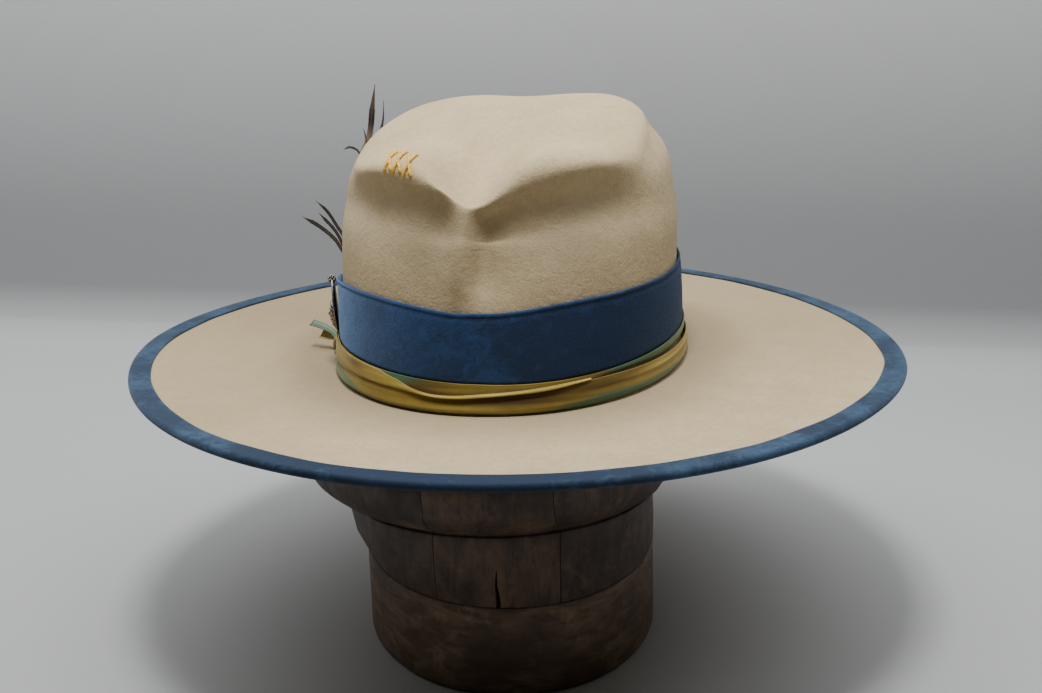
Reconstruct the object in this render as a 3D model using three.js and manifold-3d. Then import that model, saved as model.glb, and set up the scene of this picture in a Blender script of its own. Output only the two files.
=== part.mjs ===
// A wide-brim felt hat with a velvet band, silk ribbon, silver brooch and feathers, on its wooden block.
// Millimetres, +Z up, origin on the floor under the middle of the brim. The front of the hat faces -Y.
// Every outline round the hat is read by its angle: 0 at the front, 90 at +X, 180 at the back.

import * as THREE from 'three';
import { mergeVertices } from 'three/addons/utils/BufferGeometryUtils.js';
import Module from 'manifold-3d';

const wasm = await Module();
wasm.setup();

// Driving dimensions of the felt
const FELT = 2.0; // wall of the crown and of the brim
const CROWN_HALF_WIDTH = 84.5; // at the foot of the crown, outside
const CROWN_HALF_LENGTH = 103.0;
const CROWN_OVAL_POWER = 2.1;
const BRIM_HEIGHT = 145.7; // top face of the brim above the floor
const BRIM_HALF_WIDTH = 195.4; // over the binding
const BRIM_FRONT = 190.0; // from the axis of the crown
const BRIM_BACK = 215.9;
const BRIM_OVAL_POWER = 1.92;
const CROWN_AXIS_Y = (BRIM_FRONT - BRIM_BACK) / 2; // sets the middle of the brim over the origin

// Driving dimensions of the trim
const GAP = 0.3; // between pieces that touch
const BAND_TOP = 48.6; // above the top face of the brim
const BAND_TOP_SAG = 3.6; // the upper edge sinks at the front pinch
const BAND_BOTTOM = 17.2;
const BAND_BOTTOM_SAG = 3.1; // the lower edge hangs lower a little left of the front
const BAND_THICK = 1.4;
const BAND_FLARE = 1.0; // how far the brooch draws the upper edge out from the crown
const BAND_TOP_DROP = 6.5; // the upper edge dips at the hat's right side
const BROOCH_AT = -67; // degrees round the crown
const BINDING_LEG = 11; // how far the binding reaches in from the edge
const BINDING_THICK = 0.9;

// Driving dimensions of the stand
const BASE_HEIGHT = 46.8;
const BASE_HALF_WIDTH = 75.3;
const BASE_HALF_LENGTH = 94.9;
const BASE_OVAL_POWER = 2.0;
const STAND_TURN = 15; // degrees about its own axis
const STAND_OFFSET = [-4.9, -1.0]; // of its axis from the axis of the crown
const PLUG_RISE = 28; // how far the block reaches up into the crown

const AROUND = 64; // facets round the hat
const UP_CROWN = 15; // facets from the foot of the crown to its middle
// Heights above the brim at which crownRows gives the wall of the crown
const BAND_LEVEL = 48;
const FOLD_LEVEL = 60;
const SLOPE_LEVEL = 73;

// One row for each station round the crown: its angle, then shares and heights. A share is the distance
// from the axis against that of the foot, a height is above the brim. Deep is the bottom of the side dent,
// under is the overhang above it and edge is the rim of the teardrop top.
const crownColumns = [
  'at', 'bandShare', 'foldShare', 'slopeShare', 'deepShare', 'deepHeight',
  'underShare', 'underHeight', 'edgeShare', 'edgeHeight',
];
const crownRows = [
  [-148, 0.958, 0.958, 0.955, 0.933, 91, 0.888, 102, 0.810, 110.5],
  [-118, 0.972, 0.972, 0.970, 0.943, 91, 0.894, 101, 0.808, 109.5],
  [-90, 0.978, 0.978, 0.972, 0.945, 88, 0.902, 99, 0.832, 107.0],
  [-68, 0.973, 0.969, 0.954, 0.926, 83, 0.908, 92, 0.865, 101.5],
  [-48, 0.958, 0.948, 0.922, 0.876, 84, 0.868, 93, 0.876, 101.5],
  [-28, 0.942, 0.926, 0.890, 0.846, 84, 0.846, 95, 0.876, 105.0],
  [-12, 0.944, 0.926, 0.888, 0.848, 80, 0.842, 91, 0.862, 101.0],
  [-2, 0.944, 0.942, 0.924, 0.898, 79, 0.878, 86.5, 0.860, 92.0],
  [5, 0.931, 0.882, 0.850, 0.830, 76.5, 0.833, 85.5, 0.855, 92.0],
  [12, 0.938, 0.903, 0.860, 0.832, 78, 0.834, 89, 0.862, 98.5],
  [28, 0.942, 0.926, 0.886, 0.842, 83, 0.846, 95, 0.880, 106.0],
  [48, 0.956, 0.946, 0.916, 0.868, 84, 0.866, 95, 0.885, 105.5],
  [68, 0.970, 0.966, 0.952, 0.922, 84, 0.905, 94, 0.870, 104.5],
  [90, 0.975, 0.975, 0.970, 0.944, 90, 0.904, 103, 0.824, 113.5],
  [118, 0.970, 0.970, 0.966, 0.938, 91, 0.890, 103.5, 0.800, 113.0],
  [148, 0.958, 0.958, 0.955, 0.934, 91, 0.888, 102.5, 0.805, 111.5],
  [180, 0.950, 0.950, 0.945, 0.925, 90, 0.888, 102, 0.810, 111.0],
].map((row) => Object.fromEntries(row.map((value, i) => [crownColumns[i], value])));

// Height of the crown's top along its middle line, from the tip of the teardrop to the back
const topRows = [
  { y: -90, z: 88.0 },
  { y: -72, z: 96.5 },
  { y: -54, z: 104.5 },
  { y: -28, z: 115.0 },
  { y: 0, z: 122.5 },
  { y: 28, z: 125.2 },
  { y: 56, z: 122.0 },
  { y: 80, z: 115.0 },
];
const VALLEY_DEPTH = 3.2; // of the shallow crease along the middle of the top
const VALLEY_HALF_WIDTH = 24;
// Towards the tip the top turns into a deep valley between the two arms of the pinch
const NOSE_VALLEY_DEPTH = 19;
const NOSE_VALLEY_HALF_WIDTH = 18;
const NOSE_VALLEY_FROM = -28; // y at which it begins
const NOSE_VALLEY_FULL = -75; // y at which it has that depth
const NOSE_VALLEY_MOST = 1.3; // its share at the very tip
const FALL_LEFT = 0.0012; // how fast the top falls away towards +X, per mm squared
const FALL_RIGHT = 0.0026;
const TOP_SHARES = [0.9, 0.8, 0.4]; // where the rings of the top lie, as shares of its rim
const ROUND_FROM = 0.8; // the share from which the top rounds down to its rim

const felt = new THREE.MeshStandardMaterial({ color: 0xd3c5ab, roughness: 0.95, metalness: 0 });
const bindingVelvet = new THREE.MeshStandardMaterial({ color: 0x3a6a9e, roughness: 0.9, metalness: 0 });
const bandVelvet = new THREE.MeshStandardMaterial({ color: 0x27528a, roughness: 0.9, metalness: 0 });
const silk = new THREE.MeshStandardMaterial({ color: 0xb99a3e, roughness: 0.55, metalness: 0 });
const silver = new THREE.MeshStandardMaterial({ color: 0x8f8f8c, roughness: 0.4, metalness: 1 });
const feather = new THREE.MeshStandardMaterial({ color: 0x4d4a3f, roughness: 0.7, metalness: 0 });
const oldWood = new THREE.MeshStandardMaterial({ color: 0x4a382c, roughness: 0.75, metalness: 0 });

const radians = (degrees) => THREE.MathUtils.degToRad(degrees);
const mix = THREE.MathUtils.lerp;

// Distance from the axis to an oval at an angle, with its own reach to the front and to the back
function ovalReach(angle, halfWidth, front, back, power) {
  const side = Math.abs(Math.sin(angle)) / halfWidth;
  const ahead = Math.abs(Math.cos(angle)) / (Math.cos(angle) > 0 ? front : back);
  return 1 / (side ** power + ahead ** power) ** (1 / power);
}

function crownFoot(angle) {
  return ovalReach(angle, CROWN_HALF_WIDTH, CROWN_HALF_LENGTH, CROWN_HALF_LENGTH, CROWN_OVAL_POWER);
}

function polar(angle, reach, z) {
  return new THREE.Vector3(reach * Math.sin(angle), -reach * Math.cos(angle), z);
}

// Joins rings of points into one closed mesh. The rings either close on the first one,
// or end on a point in the middle of each end.
function loft(rings, { closed = false, start = null, end = null } = {}) {
  const count = rings[0].length;
  const points = rings.flat();
  const triangles = [];
  const strips = closed ? rings.length : rings.length - 1;
  for (let r = 0; r < strips; r += 1) {
    const here = r * count;
    const next = ((r + 1) % rings.length) * count;
    for (let i = 0; i < count; i += 1) {
      const j = (i + 1) % count;
      triangles.push([here + i, here + j, next + j], [here + i, next + j, next + i]);
    }
  }
  if (!closed) {
    const last = (rings.length - 1) * count;
    const startAt = points.push(start ?? middle(rings[0])) - 1;
    const endAt = points.push(end ?? middle(rings.at(-1))) - 1;
    for (let i = 0; i < count; i += 1) {
      const j = (i + 1) % count;
      triangles.push([startAt, j, i], [endAt, last + i, last + j]);
    }
  }
  return closedGeometry(points, triangles);
}

function middle(ring) {
  const sum = ring.reduce((total, point) => total.add(point), new THREE.Vector3());
  return sum.divideScalar(ring.length);
}

// Makes the geometry and turns its faces outwards, judged by the sign of its volume
function closedGeometry(points, triangles) {
  let volume = 0;
  for (const [a, b, c] of triangles) {
    volume += points[a].dot(new THREE.Vector3().crossVectors(points[b], points[c]));
  }
  const index = volume > 0 ? triangles.flat() : triangles.flatMap(([a, b, c]) => [a, c, b]);
  const geometry = new THREE.BufferGeometry();
  const numbers = points.flatMap((point) => point.toArray());
  geometry.setAttribute('position', new THREE.Float32BufferAttribute(numbers, 3));
  geometry.setIndex(index);
  geometry.computeVertexNormals();
  return geometry;
}

function toSolid(geometry) {
  const bare = geometry.clone();
  bare.deleteAttribute('normal');
  bare.deleteAttribute('uv');
  const merged = mergeVertices(bare, 1e-4);
  const vertProperties = new Float32Array(merged.attributes.position.array);
  const triVerts = new Uint32Array(merged.index.array);
  return new wasm.Manifold(new wasm.Mesh({ numProp: 3, vertProperties, triVerts }));
}

function fromSolid(solid) {
  const mesh = solid.getMesh();
  const geometry = new THREE.BufferGeometry();
  geometry.setAttribute('position', new THREE.BufferAttribute(new Float32Array(mesh.vertProperties), 3));
  geometry.setIndex(new THREE.BufferAttribute(new Uint32Array(mesh.triVerts), 1));
  geometry.computeVertexNormals();
  return geometry;
}

function fuse(geometries) {
  return fromSolid(geometries.map(toSolid).reduce((whole, piece) => whole.add(piece)));
}

function named(name, geometry, material) {
  const mesh = new THREE.Mesh(geometry, material);
  mesh.name = name;
  return mesh;
}

// The felt: points of one level of the crown, smoothed round all the stations
function levelRing(pointAt) {
  const curve = new THREE.CatmullRomCurve3(crownRows.map(pointAt), true, 'centripetal');
  return Array.from({ length: AROUND }, (_, i) => curve.getPoint(i / AROUND));
}

function wallPoint(row, share, z) {
  const angle = radians(row.at);
  return polar(angle, share * crownFoot(angle), z);
}

const topLine = new THREE.SplineCurve(topRows.map((row) => new THREE.Vector2(row.y, row.z)));

function topLineHeight(y) {
  let low = 0;
  let high = 1;
  for (let step = 0; step < 24; step += 1) {
    const half = (low + high) / 2;
    if (topLine.getPoint(half).x < y) low = half;
    else high = half;
  }
  return topLine.getPoint(low).y;
}

function topHeight(x, y) {
  const rise = VALLEY_DEPTH * (1 - Math.exp(-((x / VALLEY_HALF_WIDTH) ** 2)));
  const fall = (x > 0 ? FALL_LEFT : FALL_RIGHT) * x * x;
  const ahead = (y - NOSE_VALLEY_FROM) / (NOSE_VALLEY_FULL - NOSE_VALLEY_FROM);
  const noseDepth = NOSE_VALLEY_DEPTH * THREE.MathUtils.clamp(ahead, 0, NOSE_VALLEY_MOST) ** 1.5;
  const noseRise = noseDepth * (1 - Math.exp(-((x / NOSE_VALLEY_HALF_WIDTH) ** 2)));
  return topLineHeight(y) + rise + noseRise - fall;
}

function topPoint(row, share) {
  const point = wallPoint(row, row.edgeShare * share, 0);
  const rim = wallPoint(row, row.edgeShare, 0);
  const rimDrop = topHeight(rim.x, rim.y) - row.edgeHeight;
  const nearRim = Math.max(0, share - ROUND_FROM) / (1 - ROUND_FROM);
  const rounding = (nearRim ** 2 + 1 - Math.sqrt(1 - nearRim ** 4)) / 2;
  point.z = topHeight(point.x, point.y) - rimDrop * rounding;
  return point;
}

const footRing = levelRing((row) => wallPoint(row, 1, 0));
const bandRing = levelRing((row) => wallPoint(row, row.bandShare, BAND_LEVEL));
const crownLevels = [
  footRing,
  levelRing((row) => wallPoint(row, (1 + row.bandShare) / 2, BAND_LEVEL / 2)),
  bandRing,
  levelRing((row) => wallPoint(row, row.foldShare, FOLD_LEVEL)),
  levelRing((row) => wallPoint(row, row.slopeShare, SLOPE_LEVEL)),
  levelRing((row) => wallPoint(row, row.deepShare, row.deepHeight)),
  levelRing((row) => wallPoint(row, row.underShare, row.underHeight)),
  levelRing((row) => wallPoint(row, row.edgeShare, row.edgeHeight)),
  ...TOP_SHARES.map((share) => levelRing((row) => topPoint(row, share))),
];
const crownMiddle = new THREE.Vector3(0, 0, topHeight(0, 0));
const angles = footRing.map((point) => Math.atan2(point.x, -point.y));

// Outward direction of the crown's oval, in plan
const outward = angles.map((angle, i) => {
  const before = footRing.at(i - 1);
  const after = footRing[(i + 1) % AROUND];
  const along = new THREE.Vector3().subVectors(after, before).normalize();
  const out = new THREE.Vector3(along.y, -along.x, 0);
  return out.dot(polar(angle, 1, 0)) > 0 ? out : out.negate();
});

// Lines from the foot of the crown to its middle, each smoothed over the levels
const crownLines = angles.map((_, i) => {
  const line = crownLevels.map((level) => level[i]);
  const curve = new THREE.CatmullRomCurve3([...line, crownMiddle], false, 'centripetal');
  return curve.getPoints(UP_CROWN).slice(0, UP_CROWN);
});
const crownRings = Array.from({ length: UP_CROWN }, (_, level) => crownLines.map((line) => line[level]));

function innerRing(level) {
  return crownRings[level].map((point, i) => {
    const round = new THREE.Vector3().subVectors(
      crownRings[level][(i + 1) % AROUND],
      crownRings[level].at(i - 1),
    );
    const above = crownRings[level + 1]?.[i] ?? crownMiddle;
    const up = new THREE.Vector3().subVectors(above, crownRings[level - 1][i]);
    const normal = new THREE.Vector3().crossVectors(round, up).normalize();
    return point.clone().addScaledVector(normal, -FELT);
  });
}

// Point beside the lower wall of the crown, at a height and a distance out from the felt
function besideWall(i, out, z) {
  const point = new THREE.Vector3().lerpVectors(footRing[i], bandRing[i], z / BAND_LEVEL);
  return point.addScaledVector(outward[i], out);
}

// The brim: its outer edge rises and falls a little round the hat
const edgeWave = { drop: -1.8, sides: 1.1, corners: 0.6, front: 2.0, right: 1.1 };
function edgeLift(angle) {
  const sides = edgeWave.sides * (1 - Math.cos(2 * angle));
  const corners = edgeWave.corners * Math.cos(4 * angle);
  const tilt = edgeWave.front * Math.cos(angle) - edgeWave.right * Math.sin(angle);
  return edgeWave.drop + sides + corners + tilt;
}

const brimEdge = angles.map((angle) => {
  const reach = ovalReach(angle, BRIM_HALF_WIDTH, BRIM_FRONT, BRIM_BACK, BRIM_OVAL_POWER);
  return polar(angle, reach, edgeLift(angle));
});
const BRIM_FOOT = 2.5; // width and height of the curve where crown and brim meet
const FOOT_CURVE = 0.6; // how far the middle of that curve stands off the wall and the brim
const BRIM_STRAIGHT = 15; // the last part of the brim, on which the binding lies

// Point on the top face of the brim, d in from its edge, raised by h
function brimPoint(i, d, h) {
  const foot = besideWall(i, BRIM_FOOT, 0);
  const edge = brimEdge[i];
  const length = foot.distanceTo(edge);
  const point = new THREE.Vector3().lerpVectors(edge, foot, d / length);
  const bendShare = 1 - BRIM_STRAIGHT / length;
  const bendLift = edge.z * bendShare ** 2;
  const share = 1 - d / length;
  point.z = d <= BRIM_STRAIGHT ? mix(edge.z, bendLift, d / BRIM_STRAIGHT) : edge.z * share ** 2;
  point.z += h;
  return point;
}

const FELT_EDGE = BINDING_THICK + GAP; // the felt stops inside the binding
const brimSteps = [75, 45, BRIM_STRAIGHT, FELT_EDGE]; // distances in from the edge

function around(pointAt) {
  return angles.map((_, i) => pointAt(i));
}

const feltRings = [
  ...crownRings.slice(1).reverse(),
  around((i) => besideWall(i, 0, BRIM_FOOT)),
  around((i) => besideWall(i, FOOT_CURVE, FOOT_CURVE)),
  around((i) => besideWall(i, BRIM_FOOT, 0)),
  ...brimSteps.map((d) => around((i) => brimPoint(i, d, 0))),
  ...brimSteps.toReversed().map((d) => around((i) => brimPoint(i, d, -FELT))),
  around((i) => besideWall(i, FOOT_CURVE - FELT / 2, -FELT)),
  around((i) => besideWall(i, -FELT, -FOOT_CURVE)),
  ...crownRings.slice(1).map((_, level) => innerRing(level + 1)),
];
const crownMiddleInside = crownMiddle.clone().setZ(crownMiddle.z - FELT);
const feltBody = named(
  'felt_body',
  loft(feltRings, { start: crownMiddle, end: crownMiddleInside }),
  felt,
);

// The binding: a folded strip, open on its inner side where the felt goes in
const feltHalf = FELT / 2;
const insideHalf = feltHalf + GAP;
const outsideHalf = insideHalf + BINDING_THICK;
const bindingSection = [
  [BINDING_LEG, insideHalf],
  [BINDING_LEG - 0.5, outsideHalf],
  [2.0, outsideHalf],
  [0, insideHalf - 0.3],
  [0, 0.3 - insideHalf],
  [2.0, -outsideHalf],
  [BINDING_LEG - 0.5, -outsideHalf],
  [BINDING_LEG, -insideHalf],
  [BINDING_THICK, -insideHalf],
  [BINDING_THICK, insideHalf],
];
const bindingRings = around((i) => bindingSection.map(([d, h]) => brimPoint(i, d, h - feltHalf)));
const brimBinding = named('brim_binding', loft(bindingRings, { closed: true }), bindingVelvet);

// A ring of cloth round the foot of the crown, its section given as distances out and heights
function ringRoundCrown(sectionAt) {
  const rings = around((i) => sectionAt(angles[i]).map(([out, z]) => besideWall(i, out, z)));
  return loft(rings, { closed: true });
}

// A smooth hollow in an edge, centred on an angle, both angles in degrees
function sag(angle, at, spread) {
  const off = THREE.MathUtils.radToDeg(angle) - at;
  return Math.exp(-((off / spread) ** 2));
}
const bandTop = (angle) => BAND_TOP - BAND_TOP_SAG * sag(angle, 3, 17) - BAND_TOP_DROP * sag(angle, -86, 27);
const bandBottom = (angle) => BAND_BOTTOM - BAND_BOTTOM_SAG * sag(angle, 14, 38);

// The velvet band, with a soft rolled upper edge
const bandIn = GAP + 0.2;
const bandOut = bandIn + BAND_THICK;
const bandSection = (angle) => {
  const top = bandTop(angle);
  const bottom = bandBottom(angle);
  const flare = BAND_FLARE * sag(angle, BROOCH_AT, 15);
  return [
    [bandIn, bottom],
    [bandOut, bottom],
    [bandOut + 0.2 + flare / 2, (bottom + top) / 2],
    [bandOut + flare, top - 3],
    [bandOut + 0.3 + flare, top - 1],
    [bandIn + 0.8 + flare, top + 0.4],
    [bandIn + flare, top - 0.6],
  ];
};
const hatBand = named('hat_band', ringRoundCrown(bandSection), bandVelvet);

// The silk ribbon goes round twice. The line between its strands runs high at the hat's right side,
// drops to the front and climbs again towards the left.
function strandLine(angle) {
  return 8.6 + 1.6 * Math.cos(angle + radians(60));
}
const STRAND_GAP = 0.4;
const lowerStrand = (angle) => {
  const top = strandLine(angle) - STRAND_GAP / 2;
  return [[0.9, 1.5], [2.9, 0.6], [3.6, 2.4], [3.3, top - 0.9], [bandIn, top]];
};
const upperStrand = (angle) => {
  const bottom = strandLine(angle) + STRAND_GAP / 2;
  const top = bandBottom(angle) - GAP;
  return [[bandIn, bottom + 0.1], [3.2, bottom], [3.4, (bottom + top) / 2], [2.6, top], [bandIn, top]];
};
const ribbonLower = named('ribbon_wrap_lower', ringRoundCrown(lowerStrand), silk);
const ribbonUpper = named('ribbon_wrap_upper', ringRoundCrown(upperStrand), silk);

// A thin strip along a route, with a lens-shaped section and pointed or square ends
function strip(route, { width, thick, facing, taper = 0.15, steps = 8 }) {
  const curve = new THREE.CatmullRomCurve3(route.map((p) => new THREE.Vector3(...p)), false, 'centripetal');
  const face = new THREE.Vector3(...facing).normalize();
  const rings = [];
  for (let s = 0; s <= steps; s += 1) {
    const t = s / steps;
    const along = curve.getTangent(t);
    const across = new THREE.Vector3().crossVectors(along, face).normalize();
    const normal = new THREE.Vector3().crossVectors(across, along).normalize();
    const half = (width / 2) * mix(taper, 1, Math.sin(Math.PI * Math.min(1, 0.12 + 0.88 * t)) ** 0.7);
    const centre = curve.getPoint(t);
    rings.push([
      centre.clone().addScaledVector(across, half),
      centre.clone().addScaledVector(normal, thick / 2),
      centre.clone().addScaledVector(across, -half),
      centre.clone().addScaledVector(normal, -thick / 2),
    ]);
  }
  return loft(rings);
}

// The tie of the ribbon lies against the lower strand, behind the foot of the brooch
const knotCentre = [-89.6, -16, 5.2];
const knotSize = { out: 1.8, along: 3.0, up: 4.0 };
const knot = new THREE.SphereGeometry(1, 10, 8);
knot.scale(knotSize.out, knotSize.along, knotSize.up);
knot.translate(...knotCentre);
const greenTail = strip(
  [[-89.6, -15, 6.5], [-93.5, -10, 9.0], [-99.0, -8.5, 11.3], [-105.8, -8, 13.4]],
  { width: 5.6, thick: 0.8, facing: [0.2, -0.3, 1], taper: 0.55, steps: 6 },
);
const yellowTail = strip(
  [[-89.6, -15, 5.0], [-92.5, -10, 6.2], [-96.2, -8.5, 6.6], [-100.8, -8, 7.6]],
  { width: 5.6, thick: 0.8, facing: [0.3, -0.2, 1], taper: 0.6, steps: 6 },
);
const ribbonTie = named('ribbon_tie', fuse([knot, greenTail, yellowTail]), silk);

// The brooch stands on the band at the hat's right side: a pointed plate, an oval dome and a bead tip.
// It is made flat, facing +X with its long side up, and then turned to its place.
const BROOCH_MIDDLE = 31.2; // height above the brim
const BROOCH_LEAN = 2.6; // degrees, the upper end stands off the band
const PLATE_HEIGHT = 27;
const PLATE_WIDTH = 17.5;
const PLATE_THICK = 1.0;
const DOME_HALF = { out: 3.0, along: 7.0, up: 7.8 };
const DOME_BELOW_MIDDLE = 4.6;
const PLATE_WIDEST = -0.06; // height of its widest place, as a share of its own height
const plateShape = new THREE.Shape();
plateShape.moveTo(0, PLATE_HEIGHT / 2);
for (const side of [1, -1]) {
  const up = side > 0 ? [0.28, 0.3] : [0.45, -0.45];
  const down = side > 0 ? [0.45, -0.45] : [0.28, 0.3];
  const widest = [side * 0.5, PLATE_WIDEST];
  const end = [0, side > 0 ? -0.5 : 0.5];
  for (const [pull, goal] of [[up, widest], [down, end]]) {
    plateShape.quadraticCurveTo(
      side * pull[0] * PLATE_WIDTH, pull[1] * PLATE_HEIGHT,
      goal[0] * PLATE_WIDTH, goal[1] * PLATE_HEIGHT,
    );
  }
}
const plateCut = { depth: PLATE_THICK, bevelEnabled: false, curveSegments: 6 };
const plate = new THREE.ExtrudeGeometry(plateShape, plateCut);
plate.rotateX(Math.PI / 2);
plate.rotateZ(Math.PI / 2);
const dome = new THREE.SphereGeometry(1, 14, 10);
dome.scale(DOME_HALF.out, DOME_HALF.along, DOME_HALF.up);
const domeSolid = toSolid(dome);
const behindPlate = new THREE.BoxGeometry(10, 40, 60);
behindPlate.translate(-5, 0, 0);
const halfDome = fromSolid(domeSolid.subtract(toSolid(behindPlate)));
halfDome.translate(PLATE_THICK * 0.5, 0, -DOME_BELOW_MIDDLE);
const tipBead = new THREE.SphereGeometry(2.2, 10, 8);
tipBead.translate(PLATE_THICK, 0, PLATE_HEIGHT / 2 - 0.6);
const broochGeometry = fuse([plate, halfDome, tipBead]);
const brooch = named('brooch', broochGeometry, silver);

// Where the band's outer face is, at any angle and height
function bandFace(angle, z) {
  const foot = polar(angle, crownFoot(angle), 0);
  const share = mix(1, 0.974, z / BAND_LEVEL);
  return new THREE.Vector3(foot.x * share, foot.y * share, z);
}
const broochAngle = radians(BROOCH_AT);
const broochSeat = bandFace(broochAngle, BROOCH_MIDDLE);
const broochBeside = bandFace(radians(BROOCH_AT + 1), BROOCH_MIDDLE).sub(broochSeat).normalize();
const broochOut = new THREE.Vector3(broochBeside.y, -broochBeside.x, 0);
const BROOCH_STAND_OFF = bandOut + 1.6;
brooch.position.copy(broochSeat).addScaledVector(broochOut, BROOCH_STAND_OFF);
brooch.rotation.set(0, radians(BROOCH_LEAN), Math.atan2(broochOut.y, broochOut.x), 'ZYX');

// The feathers are one bunch, bound at their quills behind the brooch
const quillFoot = [-87.4, 2, 40];
const featherRows = [
  {
    name: 'long striped', width: 7.5, steps: 10,
    route: [quillFoot, [-86.5, 8, 62], [-85.5, 14, 80], [-82.5, 20, 96], [-79.8, 26, 106], [-78.5, 28, 116],
      [-75.9, 28, 131.9]],
  },
  {
    name: 'short slim', width: 4.5, steps: 9,
    route: [quillFoot, [-86.0, 10, 62], [-84.5, 17, 80], [-81.0, 25, 96], [-75.0, 31, 108],
      [-72.9, 32, 123.2]],
  },
  { name: 'wisp', width: 2.2, steps: 5, route: [[-83.6, 18, 91], [-80.8, 24, 101.9], [-82.0, 24, 109.7]] },
  {
    name: 'curl', width: 2.4, steps: 6,
    route: [[-84.2, 15, 87], [-84.0, 15, 98], [-85.7, 16, 101.6], [-88.3, 16, 101.3], [-90.8, 16, 100]],
  },
  {
    name: 'lowest hackle', width: 3.4, steps: 7,
    route: [quillFoot, [-88.4, -4, 51.6], [-90.5, -4, 55.7], [-95.2, -4, 60.6], [-102.2, -4, 65.5],
      [-108.1, -4, 68.5]],
  },
  {
    name: 'middle hackle', width: 3.0, steps: 6,
    route: [quillFoot, [-88.3, -4, 56.3], [-91.2, -4, 61.7], [-94.9, -4, 66.1], [-99.2, -4, 70.7]],
  },
  {
    name: 'upper hackle', width: 3.0, steps: 7,
    route: [quillFoot, [-87.7, -4, 60.5], [-89.0, -4, 62.5], [-91.9, -4, 67.4], [-94.5, -4, 71.3],
      [-100.4, -4, 76.9]],
  },
];
const FEATHER_THICK = 1.3;
const featherStrips = featherRows.map(({ width, steps, route }) =>
  strip(route, { width, thick: FEATHER_THICK, facing: [-1, -0.4, 0.1], taper: 0.22, steps }),
);
const quillBinding = new THREE.CylinderGeometry(1.5, 1.5, 7, 8);
quillBinding.rotateX(radians(94));
quillBinding.translate(...quillFoot);
const featherSpray = named('feather_spray', fuse([quillBinding, ...featherStrips]), feather);

// The stand. Rows of the block's outline: its height, how much higher its front lies than its middle,
// its half sizes and how far its middle lies towards -X from that of the base.
const blockRows = [
  { z: BASE_HEIGHT + GAP, tip: 0, halfWidth: 75.0, halfLength: 94.6, shift: 0 },
  { z: 58, tip: 5, halfWidth: 78.5, halfLength: 96.5, shift: 3.0 },
  { z: 69.5, tip: 13, halfWidth: 79.5, halfLength: 97.0, shift: 4.4 },
  { z: 71.0, tip: 13, halfWidth: 78.3, halfLength: 95.8, shift: 4.4 },
  { z: 72.5, tip: 13, halfWidth: 81.5, halfLength: 98.0, shift: 4.6 },
  { z: 78, tip: 12, halfWidth: 88.0, halfLength: 104.0, shift: 6.5 },
  { z: 87, tip: 9, halfWidth: 94.0, halfLength: 109.0, shift: 8.0 },
  { z: 108, tip: 3, halfWidth: 96.0, halfLength: 110.0, shift: 8.0 },
  { z: 118, tip: 0, halfWidth: 90.0, halfLength: 105.0, shift: 6.0 },
];
const STAND_FACETS = 38;

function standRing(pointAt) {
  return Array.from({ length: STAND_FACETS }, (_, i) => pointAt((i / STAND_FACETS) * 2 * Math.PI));
}

function baseRing(z, inset) {
  return standRing((angle) => {
    const length = BASE_HALF_LENGTH - inset;
    return polar(angle, ovalReach(angle, BASE_HALF_WIDTH - inset, length, length, BASE_OVAL_POWER), z);
  });
}

const turned = new THREE.Matrix4().makeRotationZ(radians(STAND_TURN));
const blockRings = blockRows.map((row) =>
  standRing((angle) => {
    const reach = ovalReach(angle, row.halfWidth, row.halfLength, row.halfLength, BASE_OVAL_POWER);
    const point = polar(angle, reach, 0).applyMatrix4(turned);
    point.x -= row.shift;
    point.z = row.z + row.tip * Math.cos(angle);
    return point;
  }),
);

// The plug that fills the head opening, its axis that of the crown
const PLUG_CLEAR = FELT + GAP + 0.2;
const PLUG_TAPER = 0.94; // the crown narrows most at its front
function plugRing(z, inset) {
  return standRing((angle) => {
    const share = mix(1, PLUG_TAPER, Math.max(0, z) / BAND_LEVEL);
    const point = polar(angle, crownFoot(angle) * share - PLUG_CLEAR - inset, BRIM_HEIGHT + z);
    point.x -= STAND_OFFSET[0];
    point.y -= STAND_OFFSET[1];
    return point;
  });
}
blockRings.push(plugRing(-24, 2), plugRing(-2, 1.2), plugRing(PLUG_RISE - 3, 0.6), plugRing(PLUG_RISE, 4));
const wholeBlock = toSolid(loft(blockRings));

// Upright joints split the block in three, and a drying crack runs up the middle piece
const JOINT_LEFT = -16.5;
const JOINT_RIGHT = 42.5;
const TALL = 400;
function slab(fromX, toX) {
  const box = new THREE.BoxGeometry(toX - fromX, TALL, TALL);
  box.translate((fromX + toX) / 2, 0, BRIM_HEIGHT);
  return toSolid(box);
}
const crack = { x: 14, inwards: -84, width: 3.6, endWidth: 0.6, height: 20, below: 5, depth: 16 };
const crackShape = new THREE.Shape();
crackShape.moveTo(-crack.width / 2, -crack.below);
crackShape.lineTo(crack.width / 2, -crack.below);
crackShape.lineTo(crack.endWidth / 2, crack.height);
crackShape.lineTo(-crack.endWidth / 2, crack.height);
crackShape.closePath();
const crackCutter = new THREE.ExtrudeGeometry(crackShape, { depth: crack.depth, bevelEnabled: false });
crackCutter.rotateX(Math.PI / 2);
crackCutter.translate(crack.x, crack.inwards, BASE_HEIGHT + GAP);
const blockPieces = [
  { name: 'stand_block_right', from: -TALL, to: JOINT_LEFT - GAP / 2 },
  { name: 'stand_block_centre', from: JOINT_LEFT + GAP / 2, to: JOINT_RIGHT - GAP / 2 },
  { name: 'stand_block_left', from: JOINT_RIGHT + GAP / 2, to: TALL },
].map(({ name, from, to }) => {
  let solid = wholeBlock.intersect(slab(from, to));
  if (name === 'stand_block_centre') solid = solid.subtract(toSolid(crackCutter));
  return named(name, fromSolid(solid), oldWood);
});

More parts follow.
